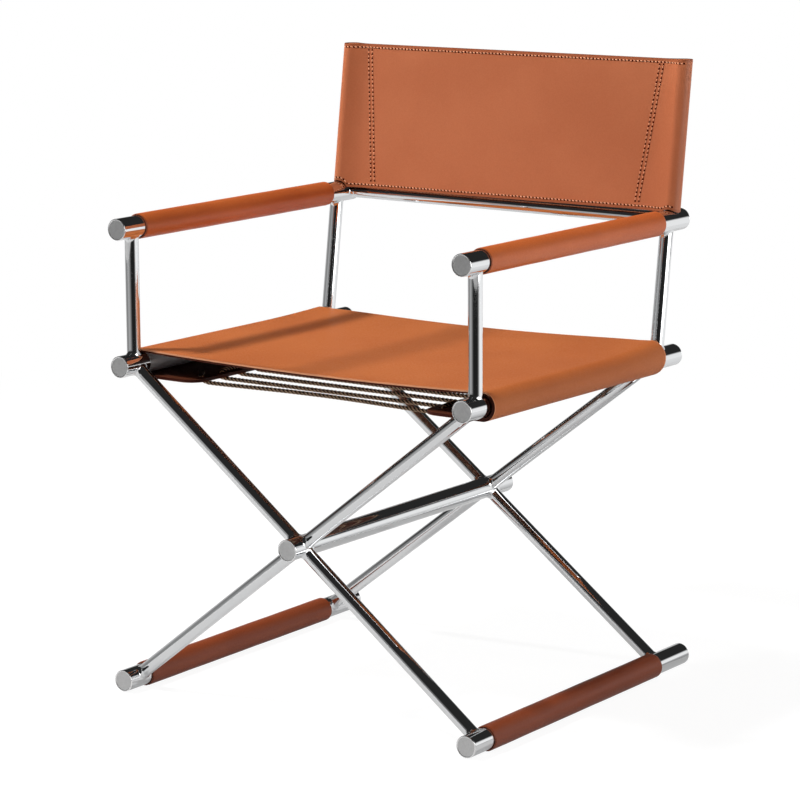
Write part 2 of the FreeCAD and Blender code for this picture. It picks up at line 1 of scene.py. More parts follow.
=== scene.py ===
# %% [markdown]
# # A tubular steel lounge chair with leather slings
#
# This lesson dresses a chair frame that already exists. The tubes, caps and joints come from a packed model,
# in metres, and stay where they are. The leather, the lacing cord, the stitches and the soft flares of the
# welds are made here, as surfaces worked out with numpy. Then come the finishes and the studio.

# %% Load the imported frame
import math

import bpy
import bmesh
import numpy as np
from mathutils import Matrix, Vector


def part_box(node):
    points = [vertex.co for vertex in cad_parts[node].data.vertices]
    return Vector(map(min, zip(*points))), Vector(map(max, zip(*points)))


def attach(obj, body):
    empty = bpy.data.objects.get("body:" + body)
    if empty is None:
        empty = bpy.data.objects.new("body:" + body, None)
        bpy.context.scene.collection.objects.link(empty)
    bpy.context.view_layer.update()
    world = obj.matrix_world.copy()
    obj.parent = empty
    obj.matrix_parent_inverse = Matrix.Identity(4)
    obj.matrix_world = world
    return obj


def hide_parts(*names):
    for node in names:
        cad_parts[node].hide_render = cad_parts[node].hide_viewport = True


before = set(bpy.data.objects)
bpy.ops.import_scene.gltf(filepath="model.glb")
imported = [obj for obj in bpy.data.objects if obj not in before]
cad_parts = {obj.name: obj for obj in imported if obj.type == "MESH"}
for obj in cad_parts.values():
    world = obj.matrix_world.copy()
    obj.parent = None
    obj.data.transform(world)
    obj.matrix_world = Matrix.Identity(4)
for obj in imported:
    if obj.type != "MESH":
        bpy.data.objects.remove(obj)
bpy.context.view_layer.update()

# %% [markdown]
# ## The camera
#
# The chair is seen from its front right, a little above the arms, through a long lens that keeps the
# tubes almost parallel. A camera is only three directions and a place. We work those out from an
# azimuth, an elevation, a small roll and a distance, and turn the axis a hair sideways so the chair
# sits in the frame as it should. That is safer than dragging a camera, because each number means
# something.

# %% Camera
def unit(vectors):
    """Each vector divided by its own length."""
    return vectors / np.linalg.norm(vectors, axis=-1, keepdims=True)


def camera_axes(azimuth, elevation, roll):
    """Right, up and back of a camera: back points from the chair to the lens, right is level before the
    roll, up is back crossed with right, and the roll turns right and up about back."""
    a, e, r = np.radians([azimuth, elevation, roll])
    back = np.array([np.sin(a) * np.cos(e), -np.cos(a) * np.cos(e), np.sin(e)])
    level = np.array([np.cos(a), np.sin(a), 0.0])
    rise = np.cross(back, level)
    return np.cos(r) * level + np.sin(r) * rise, np.cos(r) * rise - np.sin(r) * level, back


def place_object(name, data, right, up, back, place):
    """A new object in the scene, with its three axes and its place given."""
    made = bpy.data.objects.new(name, data)
    bpy.context.scene.collection.objects.link(made)
    pose = np.eye(4)
    pose[:3, 0], pose[:3, 1], pose[:3, 2], pose[:3, 3] = right, up, back, place
    made.matrix_world = Matrix(pose.tolist())
    return made


camera_azimuth, camera_elevation, camera_roll = 34.705, 11.365, -0.355
aim, camera_distance = np.array([0.0, -0.00865, 0.3956]), 4.9493
picture_pixels, lens_pixels, sensor_wide = 800, 3579.35, 36.0
shift_right_pixels, shift_down_pixels = 3.38, 2.38
right, up, back = camera_axes(camera_azimuth, camera_elevation, camera_roll)
eye = aim + camera_distance * back
back = unit(back + (shift_right_pixels * right - shift_down_pixels * up) / lens_pixels)
right = unit(right - (right @ back) * back)
up = np.cross(back, right)

lens = bpy.data.cameras.new("lens")
lens.sensor_width = sensor_wide
lens.lens = sensor_wide * lens_pixels / picture_pixels
lens.clip_start, lens.clip_end = 0.1, 60.0
bpy.context.scene.camera = place_object("camera", lens, right, up, back, eye)
print("camera at", np.round(eye, 3), "focal length", round(lens.lens, 1), "mm")

# %% [markdown]
# ## Two ways to put a surface into a mesh
#
# Nearly every soft piece here is a grid of points: one parameter runs along it, the other across it.
# A **tube** is such a grid closed round its section. A **hide** is two grids, the grain side and the
# flesh side of one thickness of leather, with walls where the leather was cut. Blender could thicken a
# single grid with a Solidify modifier, but keeping both sides lets a hole have real walls.

# %% From arrays to a mesh
merge_gap = 2e-7


def mesh_piece(name, points, faces, smooth_angle=40.0, merge=False, marks=None):
    """A mesh object from an array of points and an array of four-cornered faces. Points that no face
    uses are left out, and shading is smooth except across edges sharper than the angle. Marks are
    numbers kept on the points, for the finishes to read."""
    used, faces = np.unique(faces, return_inverse=True)
    points, faces = points[used], faces.reshape(-1, 4)
    mesh = bpy.data.meshes.new(name)
    mesh.vertices.add(len(points))
    mesh.vertices.foreach_set("co", np.ascontiguousarray(points, np.float32).ravel())
    mesh.loops.add(faces.size)
    mesh.loops.foreach_set("vertex_index", faces.astype(np.int32).ravel())
    mesh.polygons.add(len(faces))
    mesh.polygons.foreach_set("loop_start", np.arange(0, faces.size, 4, dtype=np.int32))
    mesh.update(calc_edges=True)
    for label, numbers in (marks or {}).items():
        kept = mesh.attributes.new(label, "FLOAT", "POINT")
        kept.data.foreach_set("value", numbers[used].astype(np.float32))
    if merge:
        shell = bmesh.new()
        shell.from_mesh(mesh)
        bmesh.ops.remove_doubles(shell, verts=shell.verts, dist=merge_gap)
        shell.to_mesh(mesh)
        shell.free()
    mesh.polygons.foreach_set("use_smooth", np.ones(len(mesh.polygons), bool))
    mesh.set_sharp_from_angle(angle=math.radians(smooth_angle))
    piece = bpy.data.objects.new(name, mesh)
    bpy.context.scene.collection.objects.link(piece)
    return piece


def quads(index):
    """The four corners of each cell of a grid of point numbers, one cell a row."""
    return np.stack([index[:-1, :-1], index[1:, :-1], index[1:, 1:], index[:-1, 1:]], -1).reshape(-1, 4)


def tubes(name, rings, smooth_angle=60.0, marks=None):
    """Many closed tubes in one mesh: rings[k, i, j] is the point at turn j of ring i of tube k. Each ring
    closes on itself, and a ring of zero size at either end becomes a pole once doubles are merged. A tube
    whose faces look towards its own middle is turned round."""
    count, along, around = rings.shape[:3]
    index = np.arange(count * along * around).reshape(count, along, around)
    index = np.concatenate([index, index[:, :, :1]], 2)
    half_way = along // 2
    here = rings[:, half_way, 0]
    out = here - rings[:, half_way].mean(1)
    facing = np.cross(rings[:, half_way + 1, 0] - here, rings[:, half_way, 1] - here)
    inside_out = (facing * out).sum(1) < 0
    index[inside_out] = index[inside_out][:, :, ::-1]
    faces = np.concatenate([quads(tube) for tube in index])
    marks = {label: numbers.ravel() for label, numbers in (marks or {}).items()}
    return mesh_piece(name, rings.reshape(-1, 3), faces, smooth_angle, merge=True, marks=marks)


def normals(grid, closed=False):
    """Unit normals of a grid of points: the change along the grid crossed with the change across it."""
    wide = np.concatenate([grid[:, -2:-1], grid, grid[:, 1:2]], 1) if closed else grid
    across = np.gradient(wide, axis=1)
    across = across[:, 1:-1] if closed else across
    return unit(np.cross(np.gradient(grid, axis=0), across))


print("mesh helpers ready")

# %% A hide with two sides
def hide(name, grain, flesh, keep=None, closed=False, smooth_angle=50.0, marks=None):
    """One thickness of leather: a cell of the grain grid and the same cell of the flesh grid are kept
    or left out together, and each border between a kept and a missing cell gets a wall. closed joins
    the last column to the first. marks are point attributes, one number for each grid point."""
    rows, columns = grain.shape[:2]
    index = np.arange(rows * columns).reshape(rows, columns)
    if closed:
        index = np.concatenate([index, index[:, :1]], 1)
    if keep is None:
        keep = np.ones((rows - 1, index.shape[1] - 1), bool)
    below = rows * columns
    a, b = index[:-1, :-1], index[1:, :-1]
    c, d = index[1:, 1:], index[:-1, 1:]
    faces = [np.stack([a, b, c, d], -1)[keep], np.stack([a, d, c, b], -1)[keep] + below]
    tall = np.pad(keep, ((1, 1), (0, 0)))
    p, q = index[:, :-1], index[:, 1:]
    first, last = tall[1:] & ~tall[:-1], tall[:-1] & ~tall[1:]
    faces.append(np.stack([p, q, q + below, p + below], -1)[first])
    faces.append(np.stack([q, p, p + below, q + below], -1)[last])
    if closed:
        before, after = np.roll(keep, 1, 1), keep
        p, q = index[:-1, :-1], index[1:, :-1]
    else:
        before = np.pad(keep, ((0, 0), (1, 0)))
        after = np.pad(keep, ((0, 0), (0, 1)))
        p, q = index[:-1], index[1:]
    faces.append(np.stack([q, p, p + below, q + below], -1)[after & ~before])
    faces.append(np.stack([p, q, q + below, p + below], -1)[before & ~after])
    faces = np.concatenate(faces)
    row, column = rows // 2, columns // 2
    here = grain[row, column]
    facing = np.cross(grain[row + 1, column] - here, grain[row, column + 1] - here)
    if facing @ (here - flesh[row, column]) < 0:
        faces = faces[:, ::-1]
    points = np.concatenate([grain.reshape(-1, 3), flesh.reshape(-1, 3)])
    marks = {label: np.tile(numbers.ravel(), 2) for label, numbers in (marks or {}).items()}
    marks["flesh_side"] = np.repeat([0.0, 1.0], rows * columns)
    return mesh_piece(name, points, faces, smooth_angle, marks=marks)


def soften(piece, width):
    """A small bevel on the cut edges of the leather, so that they catch the light."""
    bevel = piece.modifiers.new("cut_edges", "BEVEL")
    bevel.width, bevel.segments = width, 2
    bevel.limit_method, bevel.angle_limit = "ANGLE", math.radians(60)


print("hide helper ready")

# %% [markdown]
# ## The tubes as a ruler
#
# The leather has to fit tubes that already exist, so their sizes are read from the frame. The box round a
# tube that falls to the back is taller than the tube is thick, and the rest of its height is the fall.
# That gives the slope, and with it any point on the tube's axis. The seat rails and the arms fall just
# under one degree. The seat is written in a small frame that falls with them: across, up and forward.

# %% Measure the tubes
thick = np.ptp([corner.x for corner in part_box("centre_stretcher")]) / 2
slim = np.ptp([corner.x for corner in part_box("front_post_right")]) / 2


def fall_of(tube):
    """The slope of a thick tube: the height of its box, less its thickness, over the length of the box."""
    low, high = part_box(tube)
    return math.atan2(high.z - low.z - 2 * thick, high.y - low.y)


def on_axis(tube, depth):
    """The point of a thick tube's axis at a depth, counted down the slope from the tube's front end."""
    low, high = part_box(tube)
    slope = fall_of(tube)
    front = low.y + thick * math.sin(slope)
    drop = (depth - front) * math.tan(slope)
    return np.array([(low.x + high.x) / 2, depth, high.z - thick * math.cos(slope) - drop])


print("thick tubes", round(2000 * thick, 1), "mm, slim tubes", round(2000 * slim, 1), "mm")

# %% A frame that falls with the rails
fall = fall_of("seat_rail_right")
sideways = np.array([1.0, 0.0, 0.0])
forward = np.array([0.0, -math.cos(fall), math.sin(fall)])
upward = np.array([0.0, math.sin(fall), math.cos(fall)])
seat_length = 0.426
seat_low, seat_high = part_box("seat_sling")
rear_edge = (seat_low.y + seat_high.y + seat_length * math.cos(fall)) / 2
seat_rear = on_axis("seat_rail_right", rear_edge) * (1 - sideways)


def on_seat(across, high, ahead):
    """The rear middle of the seat, plus so much across, so much up and so much forward."""
    across, high, ahead = np.broadcast_arrays(across, high, ahead)
    return (seat_rear + across[..., None] * sideways + high[..., None] * upward
            + ahead[..., None] * forward)


print("seat front edge at", np.round(on_seat(0.0, 0.0, seat_length), 4))

# %% [markdown]
# ## The lacing under the seat
#
# Under the seat one long twisted cord goes to and fro between two leather flaps and pulls the seat tight.
# Its route is a short list of corners: down through a slot, across, up through the next slot, one step
# back and down again. The first run is drawn back a little in its middle. A smooth spline runs along
# that list, and three strands wind round the spline. A painted twist would look flat in a close view, so
# the strands are real.

# %% Corners of the cord's route
slot_across, slot_pitch, slot_first, slot_count = 0.198, 0.040, 0.395, 10
hide_thick, rail_gap, cord_gap = 0.0046, 0.0003, 0.0025
slot_to_straight, first_run_back = 0.030, 0.016
lining = thick + rail_gap
under_flap, over_flap = -(lining + hide_thick + cord_gap), -(lining - cord_gap)
near_slot = slot_across - slot_to_straight

slots = slot_first - slot_pitch * np.arange(slot_count)
turn = np.where(np.arange(slot_count) % 2 == 0, -1.0, 1.0)
corners = np.array([slot_across, slot_across, near_slot, -near_slot, -slot_across, -slot_across])
high = np.array([over_flap, under_flap, under_flap, under_flap, under_flap, over_flap])
route = on_seat(turn[:, None] * corners, high, slots[:, None]).reshape(-1, 3)
drawn_back = on_seat(0.0, under_flap, slots[:1] - first_run_back)
route = np.concatenate([route[:3], drawn_back, route[3:]])
print("route corners", len(route))

# %% A smooth spline along the corners
spline_curve = bpy.data.curves.new("cord_route", "CURVE")
spline_curve.dimensions = "3D"
spline_curve.resolution_u = 10
spline = spline_curve.splines.new("NURBS")
spline.points.add(len(route) - 1)
spline.points.foreach_set("co", np.column_stack([route, np.ones(len(route))]).ravel())
spline.order_u = 3
spline.use_endpoint_u = True
route_object = bpy.data.objects.new("cord_route", spline_curve)
bpy.context.scene.collection.objects.link(route_object)
line = bpy.data.meshes.new_from_object(route_object)
path = np.empty(len(line.vertices) * 3, np.float32)
line.vertices.foreach_get("co", path)
path = path.reshape(-1, 3).astype(float)
bpy.data.objects.remove(route_object)
bpy.data.meshes.remove(line)
same_place = 1e-6
path = path[np.r_[True, np.linalg.norm(np.diff(path, axis=0), axis=1) > same_place]]
print("points on the spline", len(path))

# %% Three strands round the route
def evenly(points, step):
    """The same line with points a fixed step apart, found by interpolating over its length."""
    length = np.r_[0, np.cumsum(np.linalg.norm(np.diff(points, axis=0), axis=1))]
    even = np.linspace(0, length[-1], int(length[-1] / step) + 1)
    return np.column_stack([np.interp(even, length, points[:, i]) for i in range(3)]), even


def full_turn(count):
    """So many angles, evenly spaced round a full turn that starts at zero."""
    return np.linspace(0, 2 * np.pi, count + 1)[:-1]


def circle(angle, first, second):
    """Points of a circle of radius one: the cosine of the angle along the first direction, plus its sine
    along the second."""
    return np.cos(angle)[..., None] * first + np.sin(angle)[..., None] * second


def strands(centre, length, count, radius, lay):
    """A rope: strand k winds about the line with one turn in each lay, and a round section of its own
    follows it. Aside and over are two directions square to the line, from one slanting direction
    that the line never takes."""
    along = unit(np.gradient(centre, axis=0))
    slant = unit(np.array([1.0, 1.0, 1.0]))
    over = unit(slant - (along @ slant)[:, None] * along)
    aside = np.cross(along, over)
    angle = 2 * np.pi * (length / lay)[None, :] + full_turn(count)[:, None]
    off_line, strand_radius = 0.53 * radius, 0.5 * radius
    wound = centre + off_line * circle(angle, over, aside)
    heading = unit(np.gradient(wound, axis=1))
    out = unit(wound - centre)
    side = np.cross(heading, out)
    girth = np.full(len(centre), strand_radius)
    girth[[0, -1]] = 0.0
    swing = circle(full_turn(6), out[:, :, None], side[:, :, None])
    return wound[:, :, None] + girth[None, :, None, None] * swing


def crown(rings):
    """How far each point of a ring looks outwards: 1 on the crown of a strand, 0 down in the groove."""
    turn = full_turn(rings.shape[2])
    return np.broadcast_to((1 + np.cos(turn)) / 2, rings.shape[:3])


cord_step, cord_radius, cord_lay = 0.0016, 0.0030, 0.0195
centre, run = evenly(path, cord_step)
rings = strands(centre, run, 3, cord_radius, cord_lay)
cord = tubes("seat_lacing_cord", rings, marks={"crown": crown(rings)})
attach(cord, "frame")
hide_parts("seat_lace")
print("cord length", round(run[-1], 3), "faces", len(cord.data.polygons))

# %% [markdown]
# The cord is stopped by a knot at each end, on top of the left flap. A trefoil is the simplest line that
# is truly knotted, so one short tube along a trefoil makes an overhand knot.

# %% The two stopper knots
knot_wide, knot_deep, knot_cord, knot_lift = 0.00125, 0.0014, 0.0021, 0.002


def knot(place):
    """A tube along a trefoil: sine plus twice the sine of double, cosine less twice the cosine of
    double, and minus the sine of triple, drawn up to the size of the knot."""
    t = full_turn(72)
    bend = np.stack([np.sin(t) + 2 * np.sin(2 * t), -np.sin(3 * t), np.cos(t) - 2 * np.cos(2 * t)], -1)
    bend = place + bend * np.array([knot_wide, knot_deep, knot_wide])
    heading = unit(np.roll(bend, -1, 0) - np.roll(bend, 1, 0))
    out = unit(np.cross(heading, unit(bend - place)))
    side = np.cross(heading, out)
    return bend[:, None] + knot_cord * circle(full_turn(8), out[:, None], side[:, None])


ends = on_seat(-slot_across, over_flap + knot_lift, slots[[0, -1]])
rings = np.stack([knot(place) for place in ends])
rings = np.concatenate([rings, rings[:, :1]], 1)
knots = tubes("seat_lacing_knots", rings, marks={"crown": crown(rings)})
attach(knots, "frame")
print("knots at", np.round(ends, 3).tolist())

# %% [markdown]
# ## The seat sling
#
# The seat is one hide. It starts as a flap beside the left rail, goes round the rail, crosses the seat,
# goes round the right rail and ends in the other flap. So its section is a line with five parts, carried
# forward along the rails. It is pulled so tight that only a shallow sag is left. Its flaps have rounded
# corners and a row of slots for the cord. A cloth simulation could drape it, but leather this stiff and
# tight hardly folds, and a formula keeps its edges where they belong.

# %% The seat's own line
half_hide, wrap_outwards = hide_thick / 2, 0.0015
rail_across, wrap = on_axis("seat_rail_right", 0.0)[0] + wrap_outwards, lining + half_hide
flap_end, corner, sag = 0.184, 0.025, 0.0055


def flap_reach(ahead):
    """Where the flap ends: a straight edge, rounded into the front and rear edges by a quarter circle."""
    inset = np.clip(corner - np.minimum(ahead, seat_length - ahead), 0, corner)
    return flap_end + corner - np.sqrt(corner**2 - inset**2)


def seat_line(share, ahead):
    """Across and height of the middle of the hide. The share runs from 0 at the left flap's end to 5 at
    the right one's: flap, half turn, seat, half turn, flap."""
    side = np.where(share < 2.5, -1.0, 1.0)
    near = np.where(share < 2.5, share, 5 - share)
    reach = flap_reach(ahead)
    tilt = math.atan(2 * sag / rail_across)
    flat = np.clip(near, 0, 1)
    angle = np.clip(near - 1, 0, 1) * (math.pi - tilt)
    x = reach + (rail_across - reach) * flat
    y = np.full_like(x, -wrap)
    x = np.where(near > 1, rail_across + wrap * np.sin(angle), x)
    y = np.where(near > 1, -wrap * np.cos(angle), y)
    edge_x, edge_y = rail_across + wrap * math.sin(tilt), wrap * math.cos(tilt)
    top_x = edge_x * (1 - 2 * np.clip(near - 2, 0, 0.5))
    top_y = edge_y - sag * (1 - (top_x / edge_x) ** 2)
    x = np.where(near > 2, top_x, x) * side
    y = np.where(near > 2, top_y, y)
    return x, y


print("seat wraps each rail with a radius of", round(1000 * wrap, 2), "mm")

# %% The seat's free rear edge
rear_lift, lift_slope, lift_curve, lift_reach = 0.0030, 0.88, 0.86, 0.15
rear_bow, bow_half_wide, bow_reach = 0.010, 0.262, 0.10
beside_rail, under_rail, rail_reach = 0.004, 0.009, 0.03
lift_from, lift_over, bow_power = 1.2, 0.6, 6
beside_from, beside_over, under_pace = 0.15, 0.7, 2.2


def fading(distance, reach):
    """1 at an edge and 0 from the reach on: the square of the part of the reach that is left."""
    return np.clip(1 - distance / reach, 0, 1) ** 2


def eased(share):
    """A share from 0 to 1 that starts and stops softly: three times its square less twice its cube."""
    return share * share * (3 - 2 * share)


def free_edge(share, across, ahead):
    """How far the stiff rear edge stands up, and how far it reaches back. It stands up more on the right,
    bows out between the two rear posts, stands out beside each rail and is cut back under it. Each of these
    fades away from the edge."""
    walk = np.minimum(share, 5 - share)
    near = np.clip(walk - lift_from, 0, lift_over) / lift_over
    aside = across / rail_across
    lift = rear_lift * (1 + lift_slope * aside + lift_curve * aside**2) * eased(near)
    between = np.clip(1 - (np.abs(across) / bow_half_wide) ** bow_power, 0, 1) * (near >= 1)
    turn = np.clip(walk - 1, 0, 1)
    beside = beside_rail * np.sin(np.pi * np.clip((turn - beside_from) / beside_over, 0, 1)) ** 2
    under = under_rail * np.clip(1 - under_pace * turn, 0, 1) ** 2
    reach = rear_bow * between * fading(ahead, bow_reach) + (beside - under) * fading(ahead, rail_reach)
    return lift * fading(ahead, lift_reach), reach


print("rear edge bows back by", round(1000 * rear_bow, 1), "mm")

# %% The seat's grid
half_slot = 0.0035
round_off = corner * np.array([0.02, 0.08, 0.18, 0.32, 0.5, 0.72, 1.0])
ahead = np.unique(np.round(np.concatenate([
    np.linspace(0, seat_length, 72), slots - half_slot, slots + half_slot, round_off,
    seat_length - round_off]), 6))
slot_share = (slot_across + half_slot * np.array([-1, 1]) - flap_end) / (rail_across - flap_end)
flap_share = np.unique(np.concatenate([np.linspace(0, 1, 16), slot_share]))
half = np.concatenate([flap_share, 1 + np.linspace(0, 1, 25)[1:], 2 + np.linspace(0, 0.5, 58)[1:]])
share = np.concatenate([half, 5 - half[-2::-1]])
print("seat grid", len(ahead), "by", len(share))

# %% Make the seat hide
ahead_grid, share_grid = np.meshgrid(ahead, share, indexing="ij")
across_grid, height_grid = seat_line(share_grid, ahead_grid)
lift, bow = free_edge(share_grid, across_grid, ahead_grid)
middle = on_seat(across_grid, height_grid + lift, ahead_grid - bow)
face = normals(middle)
top = np.argmin(np.abs(share - 2.5))
if face[len(ahead) // 2, top, 2] < 0:
    face = -face
mid_ahead = (ahead[:-1] + ahead[1:]) / 2
mid_share = (share[:-1] + share[1:]) / 2
mid_share = np.minimum(mid_share, 5 - mid_share)
in_slot = (np.abs(mid_ahead[:, None] - slots).min(1) < half_slot)[:, None]
in_slot = in_slot & ((mid_share > slot_share[0]) & (mid_share < slot_share[1]))[None, :]
cut = np.minimum(ahead_grid, seat_length - ahead_grid)
on_top = (share_grid > 1.8) & (share_grid < 3.2)
# The last mark picks the top of the seat, where its cut walls get a pale painted highlight; under the flaps
# they stay dark.
seat = hide("seat_hide", middle + half_hide * face, middle - half_hide * face, ~in_slot,
            marks={"cut_edge": cut, "cut_highlight_share": on_top * 1.0})
soften(seat, width=0.0006)
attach(seat, "frame")
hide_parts("seat_sling")

# %% [markdown]
# ## The back sling
#
# The back is a double band of thinner leather, with a pocket at each end that slides over a back post.
# Between the pockets the two layers are sewn flat together. Seen from above, its line is a flat loop: a
# straight run, a slanting run that leaves the seam and just touches the post's circle, and the turn round
# the post. The seam slants, so the loop changes a little from bottom to top, and the whole band leans. It
# hangs down in front of the rear crossbar, so its bottom edge needs a cut-out over each arm tube. A bent
# plane would do for the front, but only the whole loop has pockets that a post can go into.

# %% The back's own line
post_lean, post_setback = math.radians(8.4), 0.026
leaning = np.array([0.0, math.sin(post_lean), math.cos(post_lean)])
arm_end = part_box("arm_tube_right")[1].y - thick * math.sin(fall)
post_foot = on_axis("arm_tube_right", arm_end - post_setback)
post_across = post_foot[0]
back_tall, foot_gap, post_gap = 0.199, 0.0009, 0.0014
back_foot = post_foot * (1 - sideways) + (thick + foot_gap) / math.cos(post_lean - fall) * leaning
rearward, lean = -forward, math.tan(post_lean - fall)
post_wrap, layer_off, half_layer, slack = slim + post_gap, 0.00104, 0.0010, 1.9
low_edge, low_askew, top_edge = -0.0065, 0.0025, 0.0030
bar_edge, bar_depth, bar_slope = -0.0030, 0.0045, 2


def back_edges(across, depth):
    """Heights of the bottom and top edges: two straight lines that are not quite level, as the back hangs a
    little askew. Over each arm the bottom edge is cut out along the tube's own circle, and where the rear
    layer swells over the crossbar it is cut higher."""
    aside = across / post_across
    off_arm = np.clip(np.abs(np.abs(across) - post_across), 0, thick)
    saddle = np.sqrt(thick**2 - off_arm**2) - thick
    over_bar = bar_edge - bar_slope * np.clip(bar_depth - depth, 0, None)
    bottom = np.maximum(low_edge + low_askew * aside, np.maximum(saddle, over_bar))
    return bottom, back_tall + top_edge * (1 + aside)


def on_back(across, depth, high):
    """The foot of the back, plus so much across, so much up between its edges, and so much to the rear,
    which grows with the height because the back leans."""
    across, depth, high = np.broadcast_arrays(across, depth, high)
    bottom, top = back_edges(across, depth)
    high = bottom + (top - bottom) * high / back_tall
    rear = depth + lean * high
    return (back_foot + across[..., None] * sideways + rear[..., None] * rearward
            + high[..., None] * upward)


print("back stands on", np.round(back_foot, 4), "posts", round(2 * post_across, 4), "m apart")

# %% The loop round the posts
seam_low, seam_slant = 0.2229, 0.0240


def seam_across(high):
    """The pocket seam slants outwards from bottom to top."""
    return seam_low + seam_slant * high / back_tall


def slack_run(high):
    """Where the slack leather leaves the seam and where it meets the post's circle. In between, its depth
    grows with a power of the way, so that it leaves the seam flat; it meets the circle at the turn where
    both have one slope, and a few rounds of that equation find the turn."""
    seam = seam_across(high)
    bend = np.full_like(seam, 0.3)
    for _ in range(12):
        rise = slack * (post_wrap * np.cos(bend) - layer_off)
        bend = np.arctan(rise / (post_across - post_wrap * np.sin(bend) - seam))
    return seam, bend, post_across - post_wrap * np.sin(bend), post_wrap * np.cos(bend)


def quarter_loop(share, high):
    """Across and depth of a quarter of the loop. The share runs from 0 in the middle to 1 at the seam, 2
    where the leather meets the post's circle and 3 at its outermost point."""
    seam, bend, touch_x, touch_y = slack_run(high)
    part = np.clip(share - 1, 0, 1)
    x = np.where(share < 1, seam * share, seam + (touch_x - seam) * part)
    y = layer_off + (touch_y - layer_off) * part**slack
    angle = (np.pi / 2 + bend) * np.clip(share - 2, 0, 1) - bend
    return (np.where(share > 2, post_across + post_wrap * np.sin(angle), x),
            np.where(share > 2, post_wrap * np.cos(angle), y))


print("seams", np.round(2 * seam_across(np.array([0, back_tall])), 4), "m apart at bottom and top")

# %% The back's grid
flat_run, slack_part, post_turn = (np.linspace(0, 1, count) for count in (48, 22, 14))
quarter = np.concatenate([flat_run, 1 + slack_part[1:], 2 + post_turn[1:]])
turns = np.concatenate([quarter[:-1], 6 - quarter[:0:-1], 6 + quarter[:-1], 12 - quarter[:0:-1]])
high = np.linspace(0, back_tall, 48)
high_grid, turn_grid = np.meshgrid(high, turns, indexing="ij")
near = np.where(turn_grid % 6 < 3, turn_grid % 6, 6 - turn_grid % 6)
x, y = quarter_loop(near, high_grid)
x = np.where(turn_grid > 6, -x, x)
y = np.where((turn_grid > 3) & (turn_grid < 9), -y, y)
middle = on_back(x, y, high_grid)
face = normals(middle, closed=True)
outermost = np.argmin(np.abs(turns - 3.0))
if face[0, outermost, 0] < 0:
    face = -face
print("back grid", middle.shape[:2], "outermost", round(float(middle[..., 0].max() + half_layer), 4))

# %% Make the back hide
cut = np.minimum(high_grid, back_tall - high_grid)
seam = np.abs(np.abs(x) - seam_across(high_grid))
back_band = hide("back_hide", middle + half_layer * face, middle - half_layer * face, closed=True,
                 marks={"cut_edge": cut, "seam": seam})
soften(back_band, width=0.0005)
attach(back_band, "back_sling")
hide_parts("back_sling")

# %% [markdown]
# A pocket is closed at its top by a small piece of the same leather, let in between the two layers. The
# back hangs on these two pieces, which rest on the posts. A round lid would leave a gap towards the seam, so
# each piece follows the loop.

# %% Close the pockets
roof_sunk, roof_thick, roof_tuck = 0.0006, 0.0020, 0.2 * half_layer
roof_start, roof_stop, roof_least, far_from_cut = 1.3, 2.97, 0.0001, 0.01


def pocket_roof(name, side):
    """A patch that fills the loop from its front layer to its rear one: it follows a quarter of the loop
    from outside the seam almost to the outermost point. Its depth is that of the loop, less half the
    leather, and it is tucked into the leather a little."""
    share = np.concatenate([np.linspace(roof_start, 2, 16), np.linspace(2, roof_stop, 14)[1:]])
    x, y = quarter_loop(share, np.full_like(share, back_tall))
    half_depth = np.clip(y - half_layer + roof_tuck, roof_least, None)
    depth = half_depth[:, None] * np.linspace(-1, 1, 11)
    grain = on_back(side * x[:, None], depth, back_tall - roof_sunk)
    flesh = on_back(side * x[:, None], depth, back_tall - roof_sunk - roof_thick)
    piece = hide(name, grain, flesh, marks={"cut_edge": np.full(depth.shape, far_from_cut)})
    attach(piece, "back_sling")
    return piece


roofs = [pocket_roof("back_pocket_roof_left", -1), pocket_roof("back_pocket_roof_right", 1)]
print("pocket roofs", [len(piece.data.polygons) for piece in roofs])

# %% [markdown]
# ## The stitches of the back
#
# A line of stitching runs along the top and bottom edges, and a double one along each pocket seam. Each
# stitch is a short fat thread that rises from one needle hole and dives into the next, so it is a small
# closed tube with an arched middle. The needle holes are shallow dimples between the threads, coloured dark
# as painted shade. There are hundreds of both, so each has only a few dozen faces, and all are made in one go
# from arrays.

# %% Where the needle goes
def face_point(across, high, side):
    """A point on the outside of the back's front (side -1) or rear (side 1) face, found from the loop by
    walking out along a quarter of it."""
    seam, _, touch_x, touch_y = slack_run(high)
    wide = np.abs(across)
    part = np.clip((wide - seam) / (touch_x - seam), 0, 1)
    depth = layer_off + (touch_y - layer_off) * part**slack
    over_post = np.sqrt(np.clip(post_wrap**2 - (wide - post_across) ** 2, 0, None))
    depth = np.where(wide > touch_x, over_post, depth)
    return on_back(across, side * (depth + half_layer), high)


def needle_line(across, high, side):
    """Points of one stitching line, with the outward direction at each, from the face points beside, above
    and below it."""
    place = face_point(across, high, side)
    step = 0.0006
    to_right = face_point(across + step, high, side) - face_point(across - step, high, side)
    to_top = face_point(across, high + step, side) - face_point(across, high - step, side)
    out = unit(np.cross(to_top, to_right))
    return place, np.where((out @ rearward)[:, None] * side < 0, -out, out)


stitch_pitch, edge_in, row_apart, edge_line_end = 0.0058, 0.0050, 0.0062, 0.2885
wide = np.arange(-edge_line_end, edge_line_end, stitch_pitch)
tall = np.arange(edge_in + stitch_pitch, back_tall - edge_in, stitch_pitch)
edge_lines = [needle_line(wide, np.full_like(wide, level), side)
              for side in (-1, 1) for level in (edge_in, back_tall - edge_in)]
seam_lines = [needle_line(end * (seam_across(tall) + off), tall, side)
              for side in (-1, 1) for end in (-1, 1) for off in (-row_apart / 2, row_apart / 2)]
print("edge stitches", sum(len(place) - 1 for place, _ in edge_lines))
print("seam stitches", sum(len(place) - 1 for place, _ in seam_lines))

